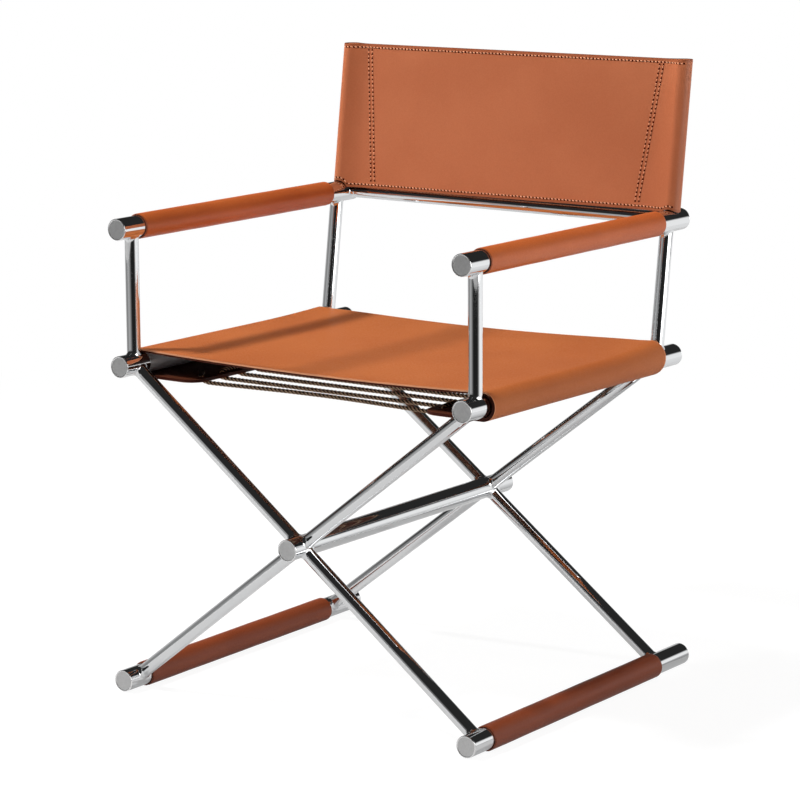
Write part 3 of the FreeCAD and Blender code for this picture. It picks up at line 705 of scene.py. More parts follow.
# %% Threads and needle holes
def threads(lines, width, slant):
    """Closed tubes from hole to hole: along the way the thread rises as a half sine, its thickness is the
    square root of that sine, and it leans a little across the line."""
    start = np.concatenate([p[:-1] for p, _ in lines])
    stop = np.concatenate([p[1:] for p, _ in lines])
    out = np.concatenate([o[:-1] for _, o in lines])
    way = np.linspace(0.06, 0.94, 7)
    arch = np.sin(np.pi * np.linspace(0, 1, 7))
    aside = np.cross(unit(stop - start), out)
    tilt = slant * (way - 0.5) * 2
    arch_high, sunk = 0.75 * width, 0.42 * width
    spine = (start[:, None] + (stop - start)[:, None] * way[None, :, None]
             + out[:, None] * (arch_high * arch - sunk)[None, :, None]
             + aside[:, None] * tilt[None, :, None])
    girth = width / 2 * np.sqrt(arch.clip(0))
    swing = circle(full_turn(6), out[:, None, None], aside[:, None, None])
    return spine[:, :, None] + girth[None, :, None, None] * swing


def holes(lines, size):
    """Shallow dimples: a ring on the leather, a smaller ring just above it and a point sunk in the middle,
    closed below."""
    place = np.concatenate([p for p, _ in lines])
    out = np.concatenate([o for _, o in lines])
    never_outwards = np.array([0.3, 0.2, 0.9])
    aside = unit(np.cross(out, never_outwards))
    over = np.cross(out, aside)
    swing = circle(full_turn(8), aside[:, None], over[:, None])
    reach = size * np.array([0.0, 1.0, 0.86, 0.0])
    lift = size * np.array([-0.5, -0.10, 0.14, 0.06])
    return (place[:, None, None] + reach[None, :, None, None] * swing[:, None]
            + (lift[None, :, None] * out[:, None])[:, :, None])


edge_thread = tubes("back_edge_stitches", threads(edge_lines, width=0.0016, slant=0.0009))
seam_thread = tubes("back_seam_stitches", threads(seam_lines, width=0.0014, slant=0.0))
needle_holes = tubes("back_needle_holes", holes(edge_lines + seam_lines, size=0.0017), smooth_angle=30)
for piece in (edge_thread, seam_thread, needle_holes):
    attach(piece, "back_sling")
print("stitch faces", sum(len(p.data.polygons) for p in (edge_thread, seam_thread, needle_holes)))

# %% [markdown]
# ## The leather sleeves
#
# Each arm and each floor rail wears a tight leather sleeve. A sleeve is a strip of hide wrapped once
# round the tube and sewn edge to edge underneath. The section is a circle with a small notch where the
# two edges meet, and the floor sleeves are pressed flat where the chair stands on them. The ends are
# rolled in slightly, so the leather reads as soft where it stops. A dark line in the finish could stand for
# the seam, but only a real notch catches the light.

# %% Make the four sleeves
sleeve_thick, sleeve_gap = 0.0022, 0.00015
tube_skin = thick + sleeve_gap
notch_deep, notch_wide = 0.0009, 0.0011
roll_deep, roll_long = 0.0007, 0.0018
ripple_deep, ripple_along, ripple_start, ripple_round, ripple_twist = 0.00012, 61, 2, 3, 19
pressed_thick = 0.0004


def sleeve(name, node, axis_start, axis_end, seam_at, on_floor):
    """A strip round a tube: the radius is that of the tube plus the hide, less a narrow bell shaped notch at
    the seam, less a soft roll over the last millimetres, and with a faint ripple. A sleeve on the floor is
    cut off there."""
    length = np.linalg.norm(axis_end - axis_start)
    near_end = np.array([0, 0.0003, 0.0009, 0.0018, 0.003, 0.005])
    along = np.unique(np.round(np.concatenate([np.linspace(0, length, 60), near_end, length - near_end]), 6))
    turn = full_turn(96)
    angle = turn + seam_at
    heading = unit(axis_end - axis_start)
    over = np.cross(sideways, heading)
    over = over if over[2] > 0 else -over
    spoke = circle(angle, sideways, over)
    offset = np.minimum(turn, 2 * np.pi - turn) * tube_skin
    notch = notch_deep * np.exp(-((offset / notch_wide) ** 2))
    end = np.minimum(along, length - along)
    roll = roll_deep * fading(end, roll_long)
    ripple = (ripple_deep * np.sin(ripple_along * along + ripple_start)[:, None]
              * np.sin(ripple_round * angle + ripple_twist * along[:, None]))
    outer = tube_skin + sleeve_thick - notch[None] - roll[:, None] + ripple
    spine = axis_start + along[:, None] * heading
    grain = spine[:, None] + outer[..., None] * spoke[None]
    flesh = spine[:, None] + (tube_skin * spoke)[None]
    if on_floor:
        grain[..., 2] = np.maximum(grain[..., 2], 0.0)
        flesh[..., 2] = np.maximum(flesh[..., 2], pressed_thick)
    cut = np.broadcast_to(end[:, None], outer.shape)
    seam = np.broadcast_to(offset[None], outer.shape)
    # All along the sleeve, the cut walls at its ends get a pale painted highlight.
    piece = hide(name, grain, flesh, closed=True,
                 marks={"cut_edge": cut, "seam": seam, "cut_highlight_share": np.ones(outer.shape)})
    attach(piece, "frame")
    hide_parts(node)
    return piece


arm_end_gap, floor_end_gap = 0.0003, 0.0
arm_sleeves, floor_sleeves = [], []
for label, seam_at in (("left", -1.24), ("right", -1.9)):
    for kind, tube, end_gap, made in (("arm", f"arm_tube_{label}", arm_end_gap, arm_sleeves),
                                      ("floor", f"floor_rail_{label}", floor_end_gap, floor_sleeves)):
        node = f"{kind}_sleeve_{label}"
        low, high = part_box(node)
        start, stop = on_axis(tube, low.y + end_gap), on_axis(tube, high.y - end_gap)
        made.append(sleeve(f"{kind}_wrap_{label}", node, start, stop, seam_at, kind == "floor"))
print("sleeve faces", [len(piece.data.polygons) for piece in arm_sleeves + floor_sleeves])

# %% [markdown]
# ## The flared welds
#
# Each slim tube meets a thick one in a polished weld that flares smoothly from one to the other. That is
# the band a small ball leaves when it rolls round the corner and touches both tubes. The ball's middle
# keeps the same distance from both tubes, which gives one quadratic for each direction round the slim
# tube, so the whole band comes from one array. Bevelling a union of the tubes would be fragile here.

# %% One weld
weld_ball, hidden_ball = 0.0055, 0.0015
band_rise, band_sunk, band_end_sunk = 0.002, 0.0008, 0.0006


def flare(meet, way, host, ball=weld_ball):
    """Rings of the band: the ball's middle lies at slim radius plus ball from the slim tube's way, and at
    thick radius plus ball from its host's axis. From there the ball touches the slim tube along one
    direction and the host along another, and the band is the arc of the ball between the two. Its first
    and last rings are sunk into the tubes."""
    way, host = unit(np.asarray(way, float)), unit(np.asarray(host, float))
    aside = unit(np.cross(way, host))
    over = np.cross(way, aside)
    spoke = circle(full_turn(64), aside, over)
    flat_spoke = spoke - (spoke @ host)[:, None] * host
    flat_way = way - (way @ host) * host
    wide = slim + ball
    a = flat_way @ flat_way
    b = 2 * wide * (flat_spoke @ flat_way)
    c = wide**2 * (flat_spoke**2).sum(1) - (thick + ball) ** 2
    climb = (-b + np.sqrt(b**2 - 4 * a * c)) / (2 * a)
    ball_at = wide * spoke + climb[:, None] * way
    square = unit(ball_at - (ball_at @ host)[:, None] * host)
    bend = np.arccos(np.clip((spoke * square).sum(1), -1, 1))
    part = np.linspace(0, 1, 10)[:, None]
    arc = -(np.sin((1 - part) * bend)[..., None] * spoke + np.sin(part * bend)[..., None] * square)
    arc = arc / np.sin(bend)[None, :, None]
    band = ball_at + ball * arc
    first = band[:1] + band_rise * way - band_sunk * spoke
    last = band[-1:] - band_end_sunk * square
    return np.asarray(meet) + np.concatenate([first, band, last])


print("a ball of", 1000 * weld_ball, "mm rolls round each corner")

# %% All the welds
def middle_of(node):
    """The middle of a node's box."""
    low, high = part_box(node)
    return (np.array(low) + np.array(high)) / 2


front_y, rear_y = middle_of("front_post_right")[1], middle_of("rear_leg_upper_right")[1]
along_hub = on_axis("centre_stretcher", rear_y) - on_axis("centre_stretcher", front_y)
crossbar_y, rear_post_back = middle_of("rear_crossbar")[1], 0.028
bands = []
for label, inwards in (("left", 1), ("right", -1)):
    arm, seat_rail, floor_rail = f"arm_tube_{label}", f"seat_rail_{label}", f"floor_rail_{label}"
    for y in (front_y, rear_y):
        hub, rail, foot = on_axis("centre_stretcher", y), on_axis(seat_rail, y), on_axis(floor_rail, y)
        bands += [flare(hub, rail - hub, along_hub), flare(hub, foot - hub, along_hub)]
        bands += [flare(rail, hub - rail, rearward), flare(foot, hub - foot, [0, 1, 0])]
    bands += [flare(on_axis(seat_rail, front_y), [0, 0, 1], rearward),
              flare(on_axis(arm, front_y), [0, 0, -1], rearward)]
    rear_foot = on_axis(seat_rail, rear_y)
    post_tall = on_axis(arm, rear_y + rear_post_back)[2] - rear_foot[2]
    bands += [flare(rear_foot, leaning, rearward),
              flare(on_axis(arm, rear_y + post_tall * math.tan(post_lean)), -leaning, rearward)]
    bands += [flare(on_axis(arm, arm_end - post_setback), leaning, rearward, ball=hidden_ball),
              flare(on_axis(arm, crossbar_y), [inwards, 0, 0], rearward)]
welds = tubes("weld_flares", np.stack(bands))
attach(welds, "frame")
print("welds", len(bands), "faces", len(welds.data.polygons))

# %% [markdown]
# Each thick tube ends in a flat plug. The rim of the tube stands a hair proud of it, rounded by the
# polishing, and catches a bright ring of light. A bevel would change the tube's own mesh, which stays as it
# came, so the rim is a piece of its own: a small section turned about the tube's axis.

# %% Make the tube ends' rims
def end_rim(tube, way):
    """A ring: the section, given as radius and height above the plug, is turned about the tube's axis at its
    front (way -1) or rear end (way 1)."""
    low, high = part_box(tube)
    slope = fall_of(tube)
    sunk = thick * math.sin(slope)
    centre = on_axis(tube, low.y + sunk if way < 0 else high.y - sunk)
    outwards = way * np.array([0.0, math.cos(slope), -math.sin(slope)])
    over = np.cross(outwards, sideways)
    radius = thick - np.array([0.0, 0.0001, 0.0004, 0.0009, 0.0014, 0.0018, 0.0020, 0.0010])
    height = np.array([-0.0004, 0.0001, 0.0004, 0.0005, 0.0004, 0.0001, -0.0003, -0.0005])
    spoke = circle(np.linspace(0, 2 * np.pi, 65), sideways, over)
    return centre + radius[None, :, None] * spoke[:, None] + height[None, :, None] * outwards


rails = ("arm_tube", "seat_rail", "floor_rail")
thick_tubes = [f"{rail}_{label}" for rail in rails for label in ("left", "right")] + ["centre_stretcher"]
rim_rings = [end_rim(tube, way) for tube in thick_tubes for way in (-1, 1)]
rims = tubes("tube_end_rims", np.stack(rim_rings))
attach(rims, "frame")
print("tube end rims", len(rim_rings), "faces", len(rims.data.polygons))

# %% [markdown]
# ## Finishes
#
# A finish is a material: a Principled shader and a few nodes that vary it. What several finishes share,
# such as the pores of leather or the faint wiping marks on polished metal, sits in a node group of its
# own, so it is written once. Patterns are read from object coordinates, in metres, so a pore has its
# real size on every piece.

# %% Small helpers for nodes
def add(tree, kind, inputs=None, **settings):
    """A node with some of its inputs and settings given."""
    made = tree.nodes.new(kind)
    for key, value in settings.items():
        setattr(made, key, value)
    for key, value in (inputs or {}).items():
        if isinstance(value, bpy.types.NodeSocket):
            tree.links.new(value, made.inputs[key])
        else:
            made.inputs[key].default_value = value
    return made


def feed(tree, node, **values):
    """Outputs of other nodes linked to this node's inputs."""
    for key, value in values.items():
        tree.links.new(value, node.inputs[key.replace("_", " ")])


def maths(tree, operation, first, second):
    """One sum: each side is a number or another node's output."""
    return add(tree, "ShaderNodeMath", {0: first, 1: second}, operation=operation).outputs[0]


def ramp(tree, value, low, high, to_low=0.0, to_high=1.0):
    """A value taken from one range to another, with soft ends, and held inside it."""
    made = add(tree, "ShaderNodeMapRange", {0: value, 1: low, 2: high, 3: to_low, 4: to_high},
               interpolation_type="SMOOTHSTEP")
    return made.outputs[0]


def blend_colour(tree, share, first, second):
    """Two colours mixed by a share. The mixing node keeps its colours in inputs 6 and 7."""
    return add(tree, "ShaderNodeMix", {0: share, 6: first, 7: second}, data_type="RGBA").outputs[2]


print("node helpers ready")

# %% Patterns, groups and colours
def place_on(tree):
    """Object coordinates: where a point lies on its piece, in metres."""
    return add(tree, "ShaderNodeTexCoord").outputs["Object"]


def noise(tree, scale, detail, roughness=0.5):
    """Soft noise over the object coordinates, with so many waves to a metre."""
    inputs = {"Vector": place_on(tree), "Scale": scale, "Detail": detail, "Roughness": roughness}
    return add(tree, "ShaderNodeTexNoise", inputs).outputs[0]


def mark(tree, label):
    """A number that was kept on the points of the mesh."""
    return add(tree, "ShaderNodeAttribute", attribute_name=label).outputs["Fac"]


def relief(tree, shader, height, strength, distance):
    """Small heights that bend the shader's normal."""
    bump = add(tree, "ShaderNodeBump", {"Height": height, "Strength": strength, "Distance": distance})
    feed(tree, shader, Normal=bump.outputs[0])


def group(name, outputs):
    """An empty node group with float outputs, and its output node."""
    tree = bpy.data.node_groups.new(name, "ShaderNodeTree")
    for label in outputs:
        tree.interface.new_socket(label, in_out="OUTPUT", socket_type="NodeSocketFloat")
    return tree, tree.nodes.new("NodeGroupOutput")


def finish(name, **values):
    """A material with a Principled shader whose plain values are set on its own sockets."""
    material = bpy.data.materials.new(name)
    material.use_nodes = True
    tree = material.node_tree
    shader = tree.nodes["Principled BSDF"]
    for key, value in values.items():
        shader.inputs[key.replace("_", " ")].default_value = value
    return material, tree, shader


def srgb(red, green, blue):
    """A colour as seen on a screen, from 0 to 255, as the light value that the shader wants."""
    c = np.array([red, green, blue]) / 255
    c = np.where(c <= 0.04045, c / 12.92, ((c + 0.055) / 1.055) ** 2.4)
    return (*c.tolist(), 1.0)


print("pattern helpers ready")

# %% [markdown]
# The frame is polished, plated steel. It has hardly any colour of its own: what we see is the studio. A
# perfect mirror would look false close up, so faint wiping marks vary the roughness, and a trace of relief
# bends the reflections. Under the hide the seat rails were left matt. The plugs in the tube ends are the
# same metal, turned and left satin.

# %% Polished steel
wiped, smeared = 0.025, 0.075
bright_steel, plain_steel = (0.83, 0.84, 0.85, 1), (0.80, 0.80, 0.82, 1)
cover_inset, cover_fade, plain_rough, plain_metal = 0.003, 0.003, 0.55, 0.15

polish, polish_out = group("wiping_marks", ["Roughness", "Height"])
wide_marks, fine_marks = noise(polish, 16.0, 4.0, 0.6), noise(polish, 210.0, 2.0)
feed(polish, polish_out, Roughness=ramp(polish, wide_marks, 0.35, 0.75, wiped, smeared), Height=fine_marks)


def polished(name, covered=None):
    """Plated steel with the wiping marks in its roughness. Between two covered depths, under leather, the
    tube was never polished, so there it is matt and grey."""
    material, tree, shader = finish(name, Base_Color=bright_steel, Metallic=1.0)
    wiping = add(tree, "ShaderNodeGroup", node_tree=polish)
    roughness = wiping.outputs["Roughness"]
    if covered:
        front, rear = covered
        depth = add(tree, "ShaderNodeSeparateXYZ", {0: place_on(tree)}).outputs["Y"]
        plain = maths(tree, "MULTIPLY", ramp(tree, depth, front, front + cover_fade),
                      ramp(tree, depth, rear - cover_fade, rear, 1.0, 0.0))
        roughness = maths(tree, "MAXIMUM", roughness, maths(tree, "MULTIPLY", plain, plain_rough))
        feed(tree, shader, Metallic=ramp(tree, plain, 0.0, 1.0, 1.0, plain_metal),
             Base_Color=blend_colour(tree, plain, bright_steel, plain_steel))
    feed(tree, shader, Roughness=roughness)
    relief(tree, shader, wiping.outputs["Height"], strength=0.02, distance=0.0002)
    return material


steel = polished("polished_steel_finish")
seat_rail_steel = polished("seat_rail_finish", (seat_low.y + cover_inset, seat_high.y - cover_inset))
print("polished finishes", steel.name, seat_rail_steel.name)

# %% Satin caps and bright rims
cap_smooth, cap_rough, rim_smooth, rim_rough = 0.38, 0.52, 0.24, 0.34
dark_satin, light_satin, rim_bright = (0.63, 0.63, 0.63, 1), (0.71, 0.71, 0.71, 1), (0.93, 0.93, 0.93, 1)

cap, tree, shader = finish("satin_cap_finish", Metallic=1.0)
turned = noise(tree, 260.0, 3.0)
feed(tree, shader, Roughness=ramp(tree, turned, 0.3, 0.7, cap_smooth, cap_rough),
     Base_Color=blend_colour(tree, ramp(tree, turned, 0.3, 0.7), dark_satin, light_satin))

rim_steel, tree, shader = finish("tube_rim_finish", Base_Color=rim_bright, Metallic=1.0)
wiping = add(tree, "ShaderNodeGroup", node_tree=polish)
feed(tree, shader, Roughness=ramp(tree, wiping.outputs["Roughness"], wiped, smeared, rim_smooth, rim_rough))
print("cap and rim finishes", cap.name, rim_steel.name)

# %% [markdown]
# The leather is smooth and waxed, cognac coloured. Close up it has pores and a fine net of creases; from
# further away there are only slow changes of tone, a thin line beside each cut, pale as a painted highlight
# on the seat, and a flesh side whose dark brown also paints the shade under the seat. The tops of the cut
# walls on the seat and the sleeves are painted pale, a painted highlight. An image of leather would repeat,
# and blur close up, so cells and noise make the pores at their real size. The seat, back and arm sleeves get
# their own colour; the floor sleeves get a darker one, painted shade for the dim light near the floor.

# %% Leather
pores, pores_out = group("leather_pores", ["Height", "Cloud", "Fine"])
cells = add(pores, "ShaderNodeTexVoronoi", {"Vector": place_on(pores), "Scale": 620.0},
            feature="DISTANCE_TO_EDGE")
net = ramp(pores, cells.outputs["Distance"], 0.0, 0.12, 0.0, 0.7)
fine, cloud = noise(pores, 480.0, 4.0, 0.65), noise(pores, 7.0, 3.0)
feed(pores, pores_out, Height=maths(pores, "ADD", net, maths(pores, "MULTIPLY", fine, 0.6)),
     Cloud=ramp(pores, cloud, 0.3, 0.7), Fine=ramp(pores, fine, 0.3, 0.7))

seam_brown, dyed_brown, flesh_and_shade_brown = srgb(70, 28, 14), srgb(66, 27, 18), srgb(84, 44, 29)
seam_wide, seam_share, cloud_share, fine_share, rough_vary = 0.002, 0.35, 0.6, 0.4, 0.05
# Shares of the way through the leather, from the grain at 0 to the flesh at 1.
dyed_from, dyed_full, highlight_full, highlight_to, flesh_from, flesh_full = 0.02, 0.10, 0.40, 0.52, 0.80, 0.98


def leather(name, colour, deep, rim, cut_highlight, roughness, shine, seam=False):
    """A waxed leather: its colour goes from deep to full with the slow cloud and the fine grain. A thin rim
    beside a cut, given by its width, share and colour, stands out; a pale rim is a painted highlight. Where
    marked, the cut wall gets a pale painted highlight near the grain, and below that it is dyed dark. A sewn
    seam is darker, and the other side has a dark flesh brown that also paints the shade under the seat."""
    material, tree, shader = finish(name, Specular_IOR_Level=shine)
    pore = add(tree, "ShaderNodeGroup", node_tree=pores).outputs
    tone = maths(tree, "ADD", maths(tree, "MULTIPLY", pore["Cloud"], cloud_share),
                 maths(tree, "MULTIPLY", pore["Fine"], fine_share))
    shade = blend_colour(tree, tone, deep, colour)
    if seam:
        by_seam = ramp(tree, mark(tree, "seam"), 0.0, seam_wide, seam_share, 0.0)
        shade = blend_colour(tree, by_seam, shade, seam_brown)
    rim_wide, rim_share, rim_colour = rim
    by_cut = ramp(tree, mark(tree, "cut_edge"), 0.4 * rim_wide, rim_wide, rim_share, 0.0)
    shade = blend_colour(tree, by_cut, shade, rim_colour)
    through = mark(tree, "flesh_side")
    off_grain = ramp(tree, through, dyed_from, dyed_full)
    shade = blend_colour(tree, off_grain, shade, dyed_brown)
    # Painted highlight: the part of a marked cut wall nearest the grain turns pale.
    to_middle = ramp(tree, through, highlight_full, highlight_to, 1.0, 0.0)
    near_grain = maths(tree, "MULTIPLY", off_grain, to_middle)
    highlit_cut = maths(tree, "MULTIPLY", mark(tree, "cut_highlight_share"), near_grain)
    shade = blend_colour(tree, highlit_cut, shade, cut_highlight)
    # The flesh side's dark brown is partly its own colour and partly painted shade for the underside of the
    # seat.
    shade = blend_colour(tree, ramp(tree, through, flesh_from, flesh_full), shade, flesh_and_shade_brown)
    rough = ramp(tree, pore["Fine"], 0.0, 1.0, roughness + rough_vary, roughness - rough_vary)
    feed(tree, shader, Base_Color=shade, Roughness=rough)
    relief(tree, shader, pore["Height"], strength=0.22, distance=0.0002)
    return material


print("leather pores ready")

# %% Four leathers
# Painted highlights: the pale tops of the cut walls, on the seat and on the sleeves.
pale_cut_highlight, brown_cut_highlight = srgb(224, 158, 120), srgb(178, 104, 76)
# The seat's pale rim is a painted highlight along its cuts; the dark rims only make the leather darker beside
# a cut.
highlight_rim, dark_rim = (0.0022, 0.4, srgb(226, 160, 120)), (0.0016, 0.5, srgb(96, 40, 20))
dark_hem = (0.0046, 0.45, srgb(120, 58, 32))
seat_finish = leather("seat_leather_finish", srgb(180, 103, 56), srgb(167, 91, 48), highlight_rim, pale_cut_highlight,
                      roughness=0.50, shine=0.12)
back_finish = leather("back_leather_finish", srgb(186, 110, 74), srgb(173, 98, 64), dark_hem, brown_cut_highlight,
                      roughness=0.46, shine=0.26)
arm_finish = leather("arm_leather_finish", srgb(198, 102, 50), srgb(182, 89, 42), dark_rim, brown_cut_highlight,
                     roughness=0.40, shine=0.28, seam=True)
# The floor sleeves' darker colour is painted shade, for the dim light near the floor.
floor_shaded_leather = leather("floor_shaded_leather_finish", srgb(135, 65, 36), srgb(118, 54, 30), dark_rim, brown_cut_highlight,
                       roughness=0.42, shine=0.26, seam=True)
print("leathers made")

# %% [markdown]
# The cord is dark brown. Its colour darkens further down in its grooves, painted shade, and turns pale on the
# crowns of its strands, a painted highlight. A pattern laid over it would miss the strands, but each point of
# the mesh keeps how far it looks outwards, and the colour follows that number. The threads are waxed and
# paler than the leather, and the needle holes are painted dark, painted shade in the dimples.

# %% Cord, thread and needle holes
# Painted shade in the cord's grooves and a painted highlight on the crowns of its strands.
groove_shade_brown, crown_highlight = srgb(26, 13, 8), srgb(214, 176, 142)
twist, tree, shader = finish("lace_cord_finish", Roughness=0.75)
fibre = noise(tree, 1500.0, 2.0)
crown_lit = ramp(tree, mark(tree, "crown"), 0.62, 1.0)
crown_lit = maths(tree, "MULTIPLY", crown_lit, ramp(tree, fibre, 0.2, 0.6, 0.6, 1.0))
feed(tree, shader, Base_Color=blend_colour(tree, crown_lit, groove_shade_brown, crown_highlight))
relief(tree, shader, fibre, strength=0.4, distance=0.0003)


def thread(name, light, dark, shine=0.3):
    """Waxed thread: fine fibres vary its colour between a light and a dark one."""
    material, tree, shader = finish(name, Roughness=0.55, Specular_IOR_Level=shine)
    feed(tree, shader, Base_Color=blend_colour(tree, noise(tree, 2600.0, 1.0), dark, light))
    return material


pale_thread = thread("edge_thread_finish", srgb(250, 196, 160), srgb(226, 156, 116))
seam_thread_finish = thread("seam_thread_finish", srgb(240, 176, 138), srgb(214, 140, 102))
# The needle holes are painted dark: painted shade in the dimples.
hole_shade_finish = thread("needle_hole_shade_finish", srgb(88, 28, 12), srgb(58, 16, 8), shine=0.02)
print("cord and thread finishes made")

# %% [markdown]
# Now every piece puts on its finish. The tubes and caps came with plain materials named after their slots,
# so the name says which finish to take, and only the seat rails need one of their own. Picking them by hand
# would do too, but a rule misses none. The pieces that were made here are listed with theirs.

# %% Give each piece its finish
def wear(piece, material):
    """The finish goes into the object's own slot, so a mesh that came with the frame stays as it was."""
    if not piece.material_slots:
        piece.data.materials.append(None)
    piece.material_slots[0].link = "OBJECT"
    piece.material_slots[0].material = material


by_slot = {"polished_steel": steel, "satin_cap": cap}
for label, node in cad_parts.items():
    if node.hide_render or not node.material_slots:
        continue
    wanted = by_slot.get(node.data.materials[0].name.split(".")[0])
    wanted = seat_rail_steel if label in ("seat_rail_left", "seat_rail_right") else wanted
    if wanted is not None:
        wear(node, wanted)
worn = [(twist, [cord, knots]), (seat_finish, [seat]), (back_finish, [back_band, *roofs]),
        (pale_thread, [edge_thread]), (seam_thread_finish, [seam_thread]), (hole_shade_finish, [needle_holes]),
        (steel, [welds]), (rim_steel, [rims]), (arm_finish, arm_sleeves), (floor_shaded_leather, floor_sleeves)]
for material, pieces in worn:
    for piece in pieces:
        wear(piece, material)

# %% [markdown]
# ## The studio
#
# The chair stands on a plain pale floor, with shadows that are hardly there. A matt floor would go grey away
# from the lamps, so this one also shines by itself. The camera sees it fade into plain white, the tubes
# mirror a darker floor, and to the leather it is plain grey.

# %% Pale floor
def stage_surface(name, grid, material, marks=None):
    """A grid of points as a piece of the studio."""
    index = np.arange(grid.shape[0] * grid.shape[1]).reshape(grid.shape[:2])
    piece = mesh_piece(name, grid.reshape(-1, 3), quads(index), smooth_angle=60, marks=marks)
    piece.data.materials.append(material)
    return piece


def lit_and_glowing(tree, paint, glow):
    """A matt surface that also shines by itself, so that its shadows stay pale."""
    matt = add(tree, "ShaderNodeBsdfDiffuse", {"Color": (paint, paint, paint, 1)})
    shine = add(tree, "ShaderNodeEmission", {"Color": (1, 1, 1, 1), "Strength": glow})
    return add(tree, "ShaderNodeAddShader", {0: matt.outputs[0], 1: shine.outputs[0]}).outputs[0]


def mixed_light(tree, share, first, second):
    """Two shaders mixed by a share."""
    return add(tree, "ShaderNodeMixShader", {0: share, 1: first, 2: second}).outputs[0]


def bare_nodes(block):
    """The empty node tree of a material or a world."""
    block.use_nodes = True
    block.node_tree.nodes.clear()
    return block.node_tree


floor_half, pale_from, white_from = 14, 0.7, 2.4
floor_material = bpy.data.materials.new("pale_floor")
tree = bare_nodes(floor_material)
rays = add(tree, "ShaderNodeLightPath")
mirrored = maths(tree, "MAXIMUM", rays.outputs["Is Glossy Ray"], rays.outputs["Is Transmission Ray"])
bounced = add(tree, "ShaderNodeBsdfDiffuse", {"Color": (0.5, 0.5, 0.5, 1)}).outputs[0]
in_metal = mixed_light(tree, mirrored, bounced, lit_and_glowing(tree, paint=0.3, glow=0.3))
away = add(tree, "ShaderNodeVectorMath", {0: place_on(tree)}, operation="LENGTH").outputs["Value"]
white = add(tree, "ShaderNodeEmission", {"Color": (1, 1, 1, 1), "Strength": 1.0}).outputs[0]
near_by = lit_and_glowing(tree, paint=0.12, glow=0.92)
pale = mixed_light(tree, ramp(tree, away, pale_from, white_from), near_by, white)
seen = mixed_light(tree, rays.outputs["Is Camera Ray"], in_metal, pale)
add(tree, "ShaderNodeOutputMaterial", {"Surface": seen})
steps = np.linspace(-floor_half, floor_half, 13)
u, v = np.meshgrid(steps, steps, indexing="ij")
stage_surface("floor", np.stack([u, v, np.zeros_like(u)], -1), floor_material)
print("floor", 2 * floor_half, "m wide")

# %% [markdown]
# Behind the floor everything is white, for the camera and for mirrors. If all that white lit the leather,
# its shadows would drown, so for every other ray the world is only a faint warm fill.

# %% White background
fill_colour, fill_strength = (1.0, 0.82, 0.66, 1), 0.048
world = bpy.data.worlds.new("white_studio")
bpy.context.scene.world = world
tree = bare_nodes(world)
rays = add(tree, "ShaderNodeLightPath")
mirrored = maths(tree, "MAXIMUM", rays.outputs["Is Glossy Ray"], rays.outputs["Is Transmission Ray"])
seen = maths(tree, "MAXIMUM", rays.outputs["Is Camera Ray"], mirrored)
fill = add(tree, "ShaderNodeBackground", {"Color": fill_colour, "Strength": fill_strength}).outputs[0]
white = add(tree, "ShaderNodeBackground", {"Color": (1, 1, 1, 1), "Strength": 1.0}).outputs[0]
add(tree, "ShaderNodeOutputWorld", {"Surface": mixed_light(tree, seen, fill, white)})
print("background", world.name)

# %% [markdown]
# Polished tubes only look like metal if there is something to reflect. So two rings of cloth stand round the
# set, a low one near by and a tall one further off: black before the chair, grey on its left and white on
# its right. A white card lies on the floor at the right, and black cloth hangs above. A picture of a studio
# could do the same, but a few angles and shades are easier to change. Only mirrors see these pieces.

# %% Cloth for the mirrors
black_cloth, fade_from, fade_long = 0.022, 0.95, 0.8
near_ring, far_ring, roof_high, card_high = 1.9, 5.0, 4.0, 0.004
near_heights, far_heights = [0, 0.18, 0.36], [0, 0.5, *np.linspace(0.9, 1.8, 10), roof_high]
card_turns, card_inner, roof_reach = (62, 136), 0.45, [0.0, 2.5, 5.2]
cloth_steps = [
    (-180, 0.45), (-150, 0.45), (-138, 0.55), (-119, 0.33), (-103, 0.24), (-90, 0.27), (-75, 0.42),
    (-66, 0.42), (-57, 0.36), (-47, 0.25), (-37, 0.14), (-29, 0.05), (-20, 0.015), (26, 0.015), (36, 0.08),
    (44, 0.30), (52, 0.62), (60, 0.95), (90, 1.0), (102, 0.95), (140, 0.85), (180, 0.45)]
card_steps = [(0.45, 0.3), (0.7, 0.6), (1.1, 0.78), (1.9, 0.85)]


def cloth_shade(turn, tall):
    """How bright the cloth is: it follows the angle from the camera towards the right, by straight steps
    between a few angles, and from a little above the floor's edge it fades to black."""
    fade = eased(np.clip((tall - fade_from) / fade_long, 0, 1))
    return np.interp(turn, *zip(*cloth_steps)) * (1 - fade) + black_cloth * fade


cloth = bpy.data.materials.new("studio_cloth")
tree = bare_nodes(cloth)
shine = add(tree, "ShaderNodeEmission", {"Color": (1, 1, 1, 1), "Strength": mark(tree, "shade")})
add(tree, "ShaderNodeOutputMaterial", {"Surface": shine.outputs[0]})


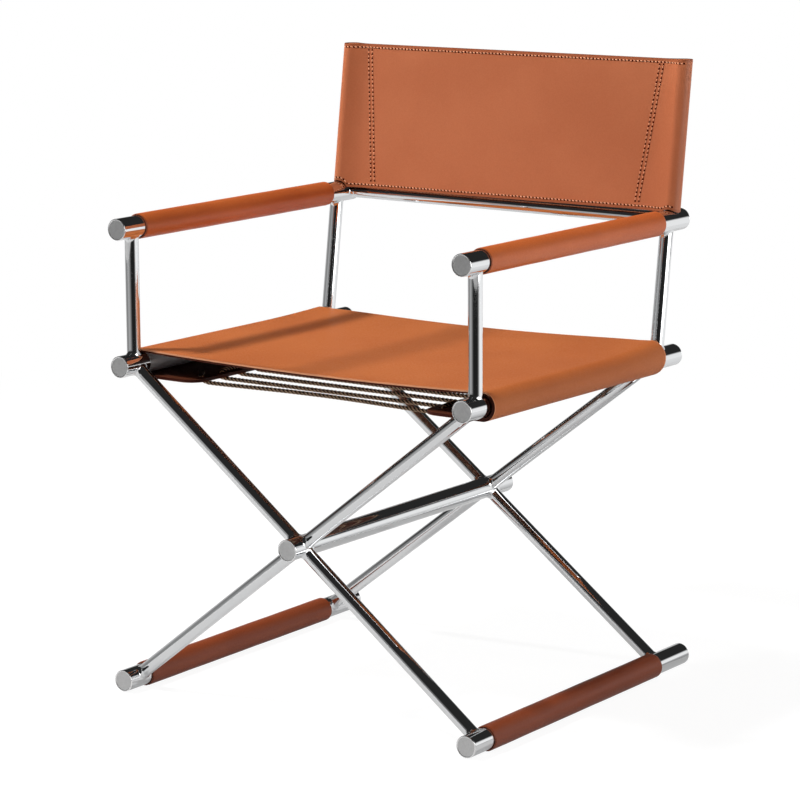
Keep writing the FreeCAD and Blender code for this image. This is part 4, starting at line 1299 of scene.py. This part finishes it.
def hang(name, turn, reach, tall, shade):
    """A grid of cloth at so many degrees from the camera, so far out and so high, with its brightness.
    Mirrors see it, and nothing else does."""
    turn, reach, tall, shade = np.broadcast_arrays(turn, reach, tall, shade)
    towards = np.radians(camera_azimuth + turn)
    grid = np.stack([reach * np.sin(towards), -reach * np.cos(towards), tall], -1)
    piece = stage_surface(name, grid, cloth, {"shade": shade.ravel()})
    piece.visible_camera = piece.visible_diffuse = False
    piece.visible_shadow = piece.visible_transmission = False


all_round = np.linspace(-180, 180, 145)
turn, tall = np.meshgrid(all_round, near_heights, indexing="ij")
hang("cloth_near", turn, near_ring, tall, cloth_shade(turn, tall))
turn, tall = np.meshgrid(all_round, far_heights, indexing="ij")
hang("cloth_far", turn, far_ring, tall, cloth_shade(turn, tall))
turn, reach = np.meshgrid(np.linspace(*card_turns, 23), np.linspace(card_inner, near_ring, 16), indexing="ij")
hang("white_card", turn, reach, card_high, np.interp(reach, *zip(*card_steps)))
turn, reach = np.meshgrid(np.linspace(-180, 180, 37), roof_reach, indexing="ij")
hang("cloth_roof", turn, reach, roof_high, black_cloth)
print("cloth hung")

# %% [markdown]
# The leather is lit by soft lamps: a strong one high on the left, a small one lower on the left, a large
# weak one at the left front, one on the right, one above and one behind. One big lamp would be simpler, but
# the seat shows two shadows of the left arm, and the first two lamps draw them.

# %% Soft lamps
def soft_lamp(name, place, target, size, watts, glossy=False):
    """A square area lamp that looks from its place to its target."""
    light = bpy.data.lights.new(name, "AREA")
    light.shape, light.size, light.energy = "SQUARE", size, watts
    away = unit(np.array(place, float) - np.array(target, float))
    aside = unit(np.cross([0, 0, 1.0], away))
    lamp = place_object(name, light, aside, np.cross(away, aside), away, place)
    lamp.visible_camera = False
    lamp.visible_glossy = glossy


soft_lamp("key_soft", (-2.12, -2.20, 5.0), (0, 0, 0.45), 0.58, 280)
soft_lamp("low_left", (-3.43, -0.48, 2.65), (0, 0, 0.45), 0.22, 94)
soft_lamp("left_front", (-1.6, -2.7, 1.9), (0, 0, 0.6), 1.6, 11)
soft_lamp("right_soft", (2.4, 0.4, 1.0), (0, 0, 0.5), 1.6, 28, glossy=True)
soft_lamp("top_right", (1.3, 0.3, 2.3), (0, 0, 0.45), 1.4, 4)
soft_lamp("rear_soft", (0.9, 3.4, 1.0), (0, 0.25, 0.7), 1.8, 35)
bpy.context.scene.view_settings.view_transform = "Standard"
print("lamps lit")
